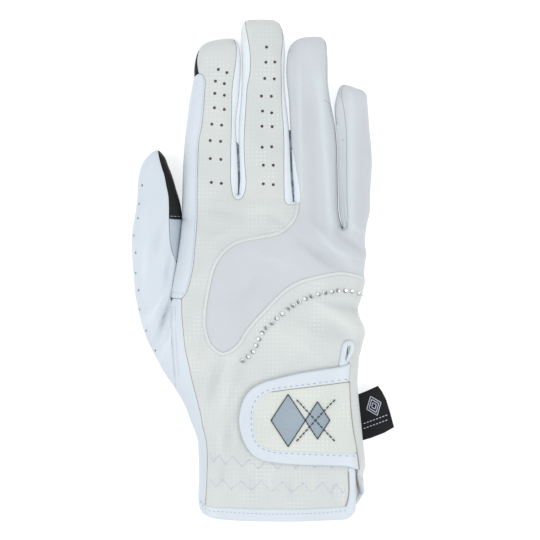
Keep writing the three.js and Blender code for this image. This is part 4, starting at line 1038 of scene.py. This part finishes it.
# The walls between the fingers
walls = {
    "web_index_middle": ("fourchette_index_middle", white_wall_painted_lighter, "white_leather", loop(
        index_seam, part_of(middle_side, INDEX_SEAM[-1], MIDDLE_SIDE[0]),
        part_of(index_side, INDEX_SIDE[-1], INDEX_SEAM[0]))),
    "web_middle_ring": ("fourchette_middle_ring", white_wall_painted_lighter, "white_leather", loop(
        middle_seam, ring_wall_seam, part_of(ring_side, RING_WALL_SEAM[-1], RING_SIDE[0]),
        part_of(middle_side, MIDDLE_SIDE[-1], MIDDLE_SEAM[0]))),
    "web_ring_little": ("fourchette_ring_little", stretch, "stretch_fabric", loop(
        little_seam, part_of(little_side, LITTLE_SEAM[-1], LITTLE_SIDE[0]),
        part_of(ring_side, RING_SIDE[-1], LITTLE_SEAM[0]))),
}
for name, (replaced, paint, slot_name, outline) in walls.items():
    wall = Mesh()
    wall.lay([outline], top)
    wall.make(name, [paint], slot_name, replaced)

# The walls' inner folds, low down between two fingers. The first two are grey, painted shade of the deep gap
# between the fingers. The last carries the little finger's wall on as far as the ring finger.
FOLD_LAP = 0.35
FOLD_STEP = 0.4
FOLD_LEVEL = -0.7
CARRIED_LEVEL = -0.6
WALL_LAP = 1.4
WALL_CARRIED = np.array([1.5, 0.0])
FOLD_SHEET = {"thick": 0.5, "roll": 0.1, "rims": ()}
FOLD_ENDS = (
    (index_side, (236.4, 144), INDEX_SIDE[-1], middle_side, MIDDLE_SIDE[0], (238.7, 144)),
    (middle_side, (288.8, 128), MIDDLE_SIDE[-1], ring_side, RING_SIDE[0], (290.3, 128)),
    (ring_side, (334.6, 124), RING_SIDE[-1], little_side, LITTLE_SIDE[0], (335.8, 124)),
)


def between(left, left_top, left_end, right, right_start, right_top, right_lap=FOLD_LAP):
    """The outline of a narrow gap, with a little of the sheets on both sides."""
    left_line = shifted(part_of(left, left_top, left_end), -FOLD_LAP)
    right_line = shifted(part_of(right, right_start, right_top), -right_lap)
    return loop(left_line[::-1], straight(left_line[0], right_line[-1], FOLD_STEP), right_line[::-1],
                straight(right_line[0], left_line[-1], FOLD_STEP))


def carried_wall(points):
    return top(points + WALL_CARRIED)


folds_between = Mesh()
for ends in FOLD_ENDS[:2]:
    folds_between.lay([between(*ends)], top, lift=FOLD_LEVEL, **FOLD_SHEET)
folds_between.lay([between(*FOLD_ENDS[2], WALL_LAP)], carried_wall, slot=1, lift=CARRIED_LEVEL, **FOLD_SHEET)
folds_between.make("wall_folds", [gap_painted_shade, stretch], "white_leather")

# The thumb, top and underside
thumb = Mesh()
thumb_loops = [loop(
    part_of(thumb_side, THUMB_SEAM[-1], PAD_SEAM[0]), pad_seam, gusset_seam,
    thumb_seam[near(thumb_seam, GUSSET_SEAM[-1]):],
)]
thumb_under = [thumb_loops[0].copy()]
punched(thumb, THUMB_PUNCHES, thumb_loops, size=THUMB_PUNCH, width=THUMB_PUNCH_WIDTH)
thumb.lay(thumb_loops, top)
thumb.lay(thumb_under, under, below=True)
thumb.make("thumb_white", [white, hole_shadow_lining], "white_leather", "thumb_back")

# The thumb's pad
pad = Mesh()
pad_loop = [loop(pad_seam[::-1], part_of(thumb_side, PAD_SEAM[0], THUMB_SIDE[-1]), pad_hem[::-1])]
pad.lay(pad_loop, top)
pad.lay(pad_loop, under, below=True)
pad.make("thumb_pad", [black], "black_leather", "thumb_touch_patch")

# The piece under the pad
gusset = Mesh()
gusset_loop = [loop(pad_hem, thumb_seam[: near(thumb_seam, GUSSET_SEAM[-1]) + 1], gusset_seam[::-1])]
gusset.lay(gusset_loop, top)
gusset.lay(gusset_loop, under, below=True)
gusset.make("thumb_stretch", [lavender], "stretch_fabric", "thumb_gusset")

# The index finger's pad, which shows as a sliver from above
patch_end = straight(on(index_side, PATCH_END), on(index_side, STRIP_END))
patch = Mesh()
patch.lay([loop(
    part_of(index_side, STRIP_END, SLIVER_SEAM[-1]), sliver_seam[::-1], strip_top)], top)
patch.lay([loop(part_of(index_side, STRIP_END, PATCH_END), patch_end)], under, below=True)
patch.make("index_tip_pad", [black], "black_leather", "index_touch_patch")

# The palm: its wrap beside the thumb, and the whole underside
palm = Mesh()
palm.lay([loop(
    part_of(thumb_side, HEM_LINE[0], THUMB_SEAM[-1]), thumb_seam[near(thumb_seam, THUMB_FORK):][::-1],
    straight(corner, wrap_seam[-1]), wrap_seam[::-1],
    shifted(part_of(hem_line, WRAP_SEAM[0], HEM_LINE[0]), UNDERLAP),
)], top)
under_hem = seam(UNDER_HEM, on(thumb_side, UNDER_HEM[0]), on(little_side, UNDER_HEM[-1]))
palm.lay([loop(
    part_of(thumb_side, UNDER_HEM[0], THUMB_SEAM[-1]), thumb_seam[::-1],
    part_of(index_side, INDEX_SIDE[0], STRIP_END), patch_end[::-1],
    part_of(index_side, PATCH_END, INDEX_SIDE[-1]), middle_side, ring_side,
    part_of(little_side, LITTLE_SIDE[0], UNDER_HEM[-1]), under_hem[::-1],
)], under, below=True)
palm.make("palm_white", [white], "white_leather", "palm")

# Bindings, tab, label and threads


def ring(points):
    """A smooth closed outline."""
    p = place(points)
    line = curve(np.vstack([p[-2:], p, p[:2]]), STEP / 3)
    gap = np.linalg.norm(line - p[0], axis=1)
    half = len(line) // 2
    first, last = np.argmin(gap[:half]), np.argmin(gap[half:]) + half
    return resample(line[first : last + 1], STEP)[:-1]


def polygon(points):
    """A closed outline with straight sides."""
    p = place([*points, points[0]])
    return np.vstack([straight(a, b)[:-1] for a, b in zip(p[:-1], p[1:])])


def straight_threads(mesh, points, base, radius, lift, slot, step=FINE_STEP, sides=SIDES):
    """Cords from each point to the next."""
    line = place(points)
    for a, b in zip(line[:-1], line[1:]):
        thread(mesh, straight(a, b, step), base, radius, lift, slot, sides)


# The hem, top and underside
HEM_SHEET = {"thick": 2.6, "lift": 0.6, "roll": 0.8, "joins": False}
# The hem's stitches are blue-grey marks, the painted shadow of needle holes between the band's pale threads
HEM_STITCH = {"pitch": 1.95, "length": 1.05, "width": 0.13, "slot": 1}
UNDER_LINE = [
    (198.4, 484), (201, 494), (204.5, 499.5), (213, 503.5), (226, 505.5), (270, 507), (300, 507),
    (325, 505.5), (342, 503), (351, 497.5), (357, 491), (363.8, 482),
]
hem_edge = seam(HEM_EDGE, on(thumb_side, HEM_EDGE[0]))
hem_right = straight(hem_line[-1], hem_edge[-1])
under_line = seam(UNDER_LINE, on(thumb_side, UNDER_LINE[0]), on(little_side, UNDER_LINE[-1]))
hem = Mesh()
hem.lay([loop(
    hem_line, hem_right, hem_edge[::-1], part_of(thumb_side, HEM_EDGE[0], HEM_LINE[0]))], top, **HEM_SHEET)
hem.lay([loop(
    under_line, part_of(little_side, UNDER_LINE[-1], UNDER_HEM[-1]), under_hem[::-1],
    part_of(thumb_side, UNDER_HEM[0], UNDER_LINE[0]))], under, below=True, **HEM_SHEET)
HEM_STITCHES = [
    (200.6, 499), (207, 507.6), (226, 509.8), (269, 511.8), (310, 511.3), (336, 509.4), (350, 507.6),
]
stitches(hem, seam(HEM_STITCHES), top, lift=0.6, **HEM_STITCH)
UNDER_STITCHES = [
    (201, 498), (206, 504), (226, 509.4), (270, 511.2), (300, 511.2), (326, 509.6), (343, 507), (352, 502),
    (359, 494),
]
stitches(hem, seam(UNDER_STITCHES), under, lift=-0.6, **HEM_STITCH)
hem.make("hem_band", [band, blue_thread_and_hole_shadow], "binding", "cuff_binding")

# The slit's bound edges, the loop at its upper end and the piece that shows in it
vent = Mesh()
vent.lay([ring(LOOP_OUTER), ring(LOOP_SLOT)], top, thick=2.2, lift=1.3, roll=0.9, grid=FINE_GRID)
VENT_EDGE = [
    (348.2, 465), (351, 464.6), (354, 466), (354.8, 478), (355, 492), (355.2, 504), (354, 510.5), (350, 513),
    (345.6, 513), (344.8, 508), (347, 500), (348.4, 490), (348.2, 476),
]
vent.lay([ring(VENT_EDGE)], top, thick=2.4, lift=0.95, roll=1.0, grid=FINE_GRID)
FLAP_EDGE = [
    (355, 466), (356.8, 473), (358.8, 480), (362.3, 493.5), (363.8, 491), (361.6, 480), (358.4, 470),
    (357, 465),
]
vent.lay([ring(FLAP_EDGE)], top, thick=2.0, lift=0.5, roll=0.8, grid=FINE_GRID, slot=2)
PLACKET = [(350, 464), (358, 468), (363, 490), (359, 499), (351.5, 509), (350, 490)]
vent.lay([polygon(PLACKET)], top, thick=0.9, lift=-2.2, roll=0.4, slot=1)
vent.make("vent_band", [band, lining, band_grey], "binding", "vent_binding")

# The closure tab: its tape, the cream with its pattern, and the band
tab_root = seam(TAB_ROOT)
tab_inner = seam(TAB_INNER, on(tab_root, TAB_INNER[0]), on(tab_root, TAB_INNER[-1]))


def tab_base(points):
    return top(points, folded=False)


TAPE = [(262, 402), (285, 396), (322, 393), (330, 398), (332, 436), (322, 441), (280, 440), (264, 432)]
tape = Mesh()
tape.lay([ring(TAPE)], tab_base, thick=0.9, lift=1.15, roll=0.3)
tape.make("hook_tape", [hook], "hook_fastener", "strap_fastener")
tab = Mesh()
tab.lay([loop(
    shifted(tab_inner, -UNDERLAP), part_of(tab_root, TAB_INNER[-1], TAB_INNER[0]))],
    tab_base, thick=1.3, lift=TAB_LEVEL)
MOTIF = (((288, 419), (17, 26)), ((317, 419), (12, 18.5)))
for (column, row), (across, up) in MOTIF:
    corners = [(column, row - up), (column + across, row), (column, row + up), (column - across, row)]
    tab.lay([polygon(corners)], tab_base, thick=0.5, lift=TAB_LEVEL + 0.3, roll=0.2, slot=1)
    straight_threads(tab, [*corners, corners[0]], tab_base, radius=0.22, lift=TAB_LEVEL + 0.4, slot=2)
for ends in (((296, 398), (334, 440)), ((296, 440), (334, 398))):
    stitches(tab, place(ends), tab_base, pitch=2.0, length=1.7, width=0.3, lift=TAB_LEVEL + 0.5, slot=2)
tab.make("tab_cream", [cream_tab, glitter, thread_dark], "cream_leather", "strap_panel")

tab_band = Mesh()
tab_band.lay([loop(
    tab_outer, part_of(tab_root, TAB_OUTER[-1], TAB_INNER[-1]), tab_inner[::-1],
    part_of(tab_root, TAB_INNER[0], TAB_OUTER[0]))],
    tab_base, thick=2.5, lift=TAB_LEVEL + 0.3, roll=0.8)
# Blue-grey marks along the band, the painted shadow of needle holes between its pale threads
stitches(tab_band, shifted(tab_inner, -1.5), tab_base, pitch=2.75, length=1.4, width=0.17,
         lift=TAB_LEVEL + 0.32, slot=1)
tab_band.make("tab_band", [band, blue_thread_and_hole_shadow], "binding", "strap_binding")

# The label, whose free end droops
LABEL_LENGTH = 38
LABEL_LEVEL = 8.3
LABEL_DROOP = 1.6
LOZENGE = (374, 406)
LOZENGE_SIZES = (9.5, 6.5, 3.2)


def label_base(points):
    out = (photo_column(points) - LABEL_OUTLINE[0][0]) / LABEL_LENGTH
    return LABEL_LEVEL - LABEL_DROOP * np.clip(out, 0, 2) ** 2


def lozenge(column, row, size):
    """A leaning lozenge's corners, the first one again at the end."""
    lean, across = size * 0.35, size * 0.75
    return [(column - lean, row - size), (column + across, row - lean), (column + lean, row + size),
            (column - across, row + lean), (column - lean, row - size)]


label = Mesh()
label.lay([polygon(LABEL_OUTLINE)], label_base, thick=0.9, roll=0.4)
for size in LOZENGE_SIZES:
    straight_threads(label, lozenge(*LOZENGE, size), label_base, radius=0.2, lift=0.12, slot=1)
for drop in (0, 5):
    line = place([(363, 424 + drop), (388, 415 + drop)])
    stitches(label, line, label_base, pitch=1.6, length=1.1, width=0.2, lift=0.12, slot=1)
label.make("label_fold", [label_cloth, thread_pale], "woven_label", "side_label")

# Stitches along the seams, and the two zigzag threads at the wrist
threads = Mesh()
# Pale threads with blue-grey marks between them, the painted shadow of needle holes
FINE = {"pitch": 1.7, "length": 1.0, "width": 0.13, "hole_shadow_slot": 1}
stitches(threads, shifted(drop_seam, -1.75), top, pitch=2.1, length=1.5, width=0.12, lift=LAP - 0.1,
         hole_shadow_slot=1, gap=0.55)
stitches(threads, shifted(strip_seam, 0.7)[2:-2], top, lift=0.38, **FINE)
stitches(threads, place([(173.4, 292.4), (185, 292.8)]), top, lift=0.38, **FINE)
THUMB_STITCHED = ((171.4, 306), (175, 378))
for offset in (0.7, 2.2):
    stitches(threads, shifted(part_of(thumb_seam, *THUMB_STITCHED), offset), top, lift=0.03, **FINE)
stitches(threads, place([(170.5, 216.4), (180.8, 216.6)]), top, lift=0.03, **FINE)
ZIGZAGS = [
    [(210, 451.7), (213.8, 460.6), (219.5, 453.6), (225.9, 463.1), (233.3, 454.6), (242.1, 465.4),
     (248.9, 458.3), (258.4, 467.2), (267.5, 458), (277.6, 467.6), (286.5, 458), (295.4, 467),
     (304.7, 457.5), (313.9, 466.3), (322.5, 457.5), (331.1, 467), (338.5, 458)],
    [(210, 477), (216.4, 485.2), (222.7, 477.2), (231.4, 487.4), (241.2, 479.3), (251.8, 488.6),
     (261, 479.1), (271.6, 489.9), (282.7, 480.1), (291.6, 490.6), (302.7, 481.4), (311.4, 490.6),
     (322.2, 480.6), (330.5, 491.6), (335.6, 482.3), (342.2, 490.6), (344.5, 488)],
]
for row in ZIGZAGS:
    straight_threads(threads, row, top, radius=0.17, lift=0.05, slot=2, step=0.7, sides=5)
stitches(threads, seam([(357, 440), (358.6, 456), (360.4, 470), (362, 480)]), top, pitch=2.0, length=1.2,
         width=0.12, lift=0.05, slot=1)
stitches(threads, place([(337.8, 141.6), (344.4, 139.8)]), top, pitch=1.5, length=0.9, width=0.15,
         lift=0.05, slot=1)
thread(threads, seam([(323.8, 100.4), (327.4, 102.4), (330.2, 106.6), (331.8, 110)]), top,
       radius=0.12, lift=0.0, slot=1)
threads.make("seam_threads", [thread_pale, blue_thread_and_hole_shadow, thread_zigzag], "stretch_fabric")

# The thin brown edges at the seams, round the tab and beside the slit
lines = Mesh()
for line in (index_seam, middle_seam, wrap_seam):
    thread(lines, line, top, radius=0.13, lift=-0.12)
for line in (part_of(tab_root, TAB_INNER[0], TAB_OUTER[-1]), shifted(tab_inner, -0.1)[:40]):
    thread(lines, line, tab_base, radius=0.17, lift=TAB_LEVEL + 0.02)
SLIT_THREAD = [(347.4, 470), (347.9, 480), (348, 491), (346.6, 499), (344.6, 504.2)]
thread(lines, seam(SLIT_THREAD), top, radius=0.2, lift=0.1)
lines.make("seam_lines", [thread_brown], "cream_leather")

# A stone's rings from the table down: corners, size, height and turn as a share of a corner
STONE_RADIUS = 1.0
STONE_LIFT = 0.35
CUT = ((8, 0.54, 0.95, 0.0), (8, 0.86, 0.62, 0.5), (16, 1.0, 0.3, 0.0), (16, 0.94, -0.2, 0.0))
# Tones the table is given at random: painted reflection, dark or bright
TABLE_REFLECTION_TONES = (0.25, 0.9, 1.0)


def cut_faces():
    """A table, the facets down to the girdle, and the closed back."""
    faces = [tuple(range(8))]
    for k in range(8):
        n = (k + 1) % 8
        t, u, t_next, u_next = k, 8 + k, n, 8 + n
        g = [16 + (2 * k + step) % 16 for step in range(3)]
        faces += [(t, u, t_next), (u, u_next, t_next), (u, g[0], g[1]), (u, g[1], g[2]), (u, g[2], u_next)]
    faces += [(16 + k, 32 + k, 32 + (k + 1) % 16, 16 + (k + 1) % 16) for k in range(16)]
    return faces + [tuple(range(32, 48))[::-1]]


def stone(number):
    """A cut stone seated on the back, each facet's tone a painted reflection, brightest towards a glint of
    its own.
    """
    name = f"rhinestone_{number:02d}"
    low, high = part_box(name)
    middle = np.array([[(low.x + high.x) / 2 / MM, (low.y + high.y) / 2 / MM]])
    along = np.array([[1.0, 0.0]])
    centre, tangent, across, out = (v[0] for v in frames_on(top, middle, along, STONE_LIFT))
    turn, painted_glint_turn = random.random(), random.uniform(0, 2 * math.pi)
    points = []
    for sides, size, rise, offset in CUT:
        for k in range(sides):
            a = 2 * math.pi * (k + (offset + turn) * sides / 8) / sides
            spoke = tangent * math.cos(a) + across * math.sin(a)
            points.append(centre + STONE_RADIUS * size * spoke + out * rise)
    faces = cut_faces()
    mesh = bpy.data.meshes.new(f"stone_{number:02d}")
    mesh.from_pydata([tuple(p * MM) for p in points], [], faces)
    mesh.materials.append(gem)
    tones = []
    for face in faces:
        spoke = sum(points[k] for k in face) / len(face) - centre
        side = math.atan2(spoke @ across, spoke @ tangent)
        # Facets towards the glint are painted bright, those away dark: painted reflection, with random
        # spread
        tones.append(min(max(0.5 + 0.75 * math.cos(side - painted_glint_turn) + random.uniform(-0.2, 0.2), 0), 1))
    tones[0] = random.choice(TABLE_REFLECTION_TONES)
    mesh.attributes.new("tone", "FLOAT", "FACE").data.foreach_set("value", tones)
    made = bpy.data.objects.new(mesh.name, mesh)
    bpy.context.scene.collection.objects.link(made)
    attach(made, "root")
    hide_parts(name)


for number in range(1, STONES + 1):
    stone(number)

# Floor, light and camera

FLOOR_REACH = 3.0
FLOOR_DROP = 0.8
PAPER = (0.5, 0.5, 0.5, 1)
PAPER_GLOW = 0.66
WORLD_LIGHT = 0.8
LAMP_SIZE = 1.0
LAMP_POWER = 7
LAMPS = {"key": (-1.0, 0.1, 1.3), "fill": (0.9, -0.5, 1.3)}
DISTANCE = 1.5
GLOVE_HEIGHT = 10

floor_mesh = bpy.data.meshes.new("floor")
corners = [(x * FLOOR_REACH, y * FLOOR_REACH, 0) for x, y in ((-1, -1), (1, -1), (1, 1), (-1, 1))]
floor_mesh.from_pydata(corners, [], [(0, 1, 2, 3)])
floor = bpy.data.objects.new("floor", floor_mesh)
bpy.context.scene.collection.objects.link(floor)
floor.location.z = -FLOOR_DROP * MM
paper = bpy.data.materials.new("paper")
paper.use_nodes = True
surface = paper.node_tree.nodes["Principled BSDF"]
surface.inputs["Base Color"].default_value = PAPER
surface.inputs["Roughness"].default_value = 0.9
surface.inputs["Emission Color"].default_value = (1, 1, 1, 1)
surface.inputs["Emission Strength"].default_value = PAPER_GLOW
floor_mesh.materials.append(paper)

world = bpy.data.worlds.new("studio")
world.use_nodes = True
world.node_tree.nodes["Background"].inputs["Color"].default_value = (1.0, 1.0, 1.0, 1)
world.node_tree.nodes["Background"].inputs["Strength"].default_value = WORLD_LIGHT
bpy.context.scene.world = world


def area_light(name, place_at):
    """A round lamp that faces the glove."""
    data = bpy.data.lights.new(name, "AREA")
    data.shape = "DISK"
    data.size = LAMP_SIZE
    data.energy = LAMP_POWER
    made = bpy.data.objects.new(name, data)
    bpy.context.scene.collection.objects.link(made)
    made.location = place_at
    made.rotation_mode = "QUATERNION"
    made.rotation_quaternion = (-Vector(place_at)).to_track_quat("-Z", "Y")


for name, place_at in LAMPS.items():
    area_light(name, place_at)

centre = place((PHOTO_SIZE / 2, PHOTO_SIZE / 2))[0] * MM
lens = bpy.data.cameras.new("camera")
lens.sensor_width = 36
lens.lens = lens.sensor_width * DISTANCE / (PHOTO_SIZE * PIXEL * MM)
camera = bpy.data.objects.new("camera", lens)
bpy.context.scene.collection.objects.link(camera)
camera.location = (centre[0], centre[1], DISTANCE + GLOVE_HEIGHT * MM)
bpy.context.scene.camera = camera
bpy.context.scene.view_settings.view_transform = "Standard"
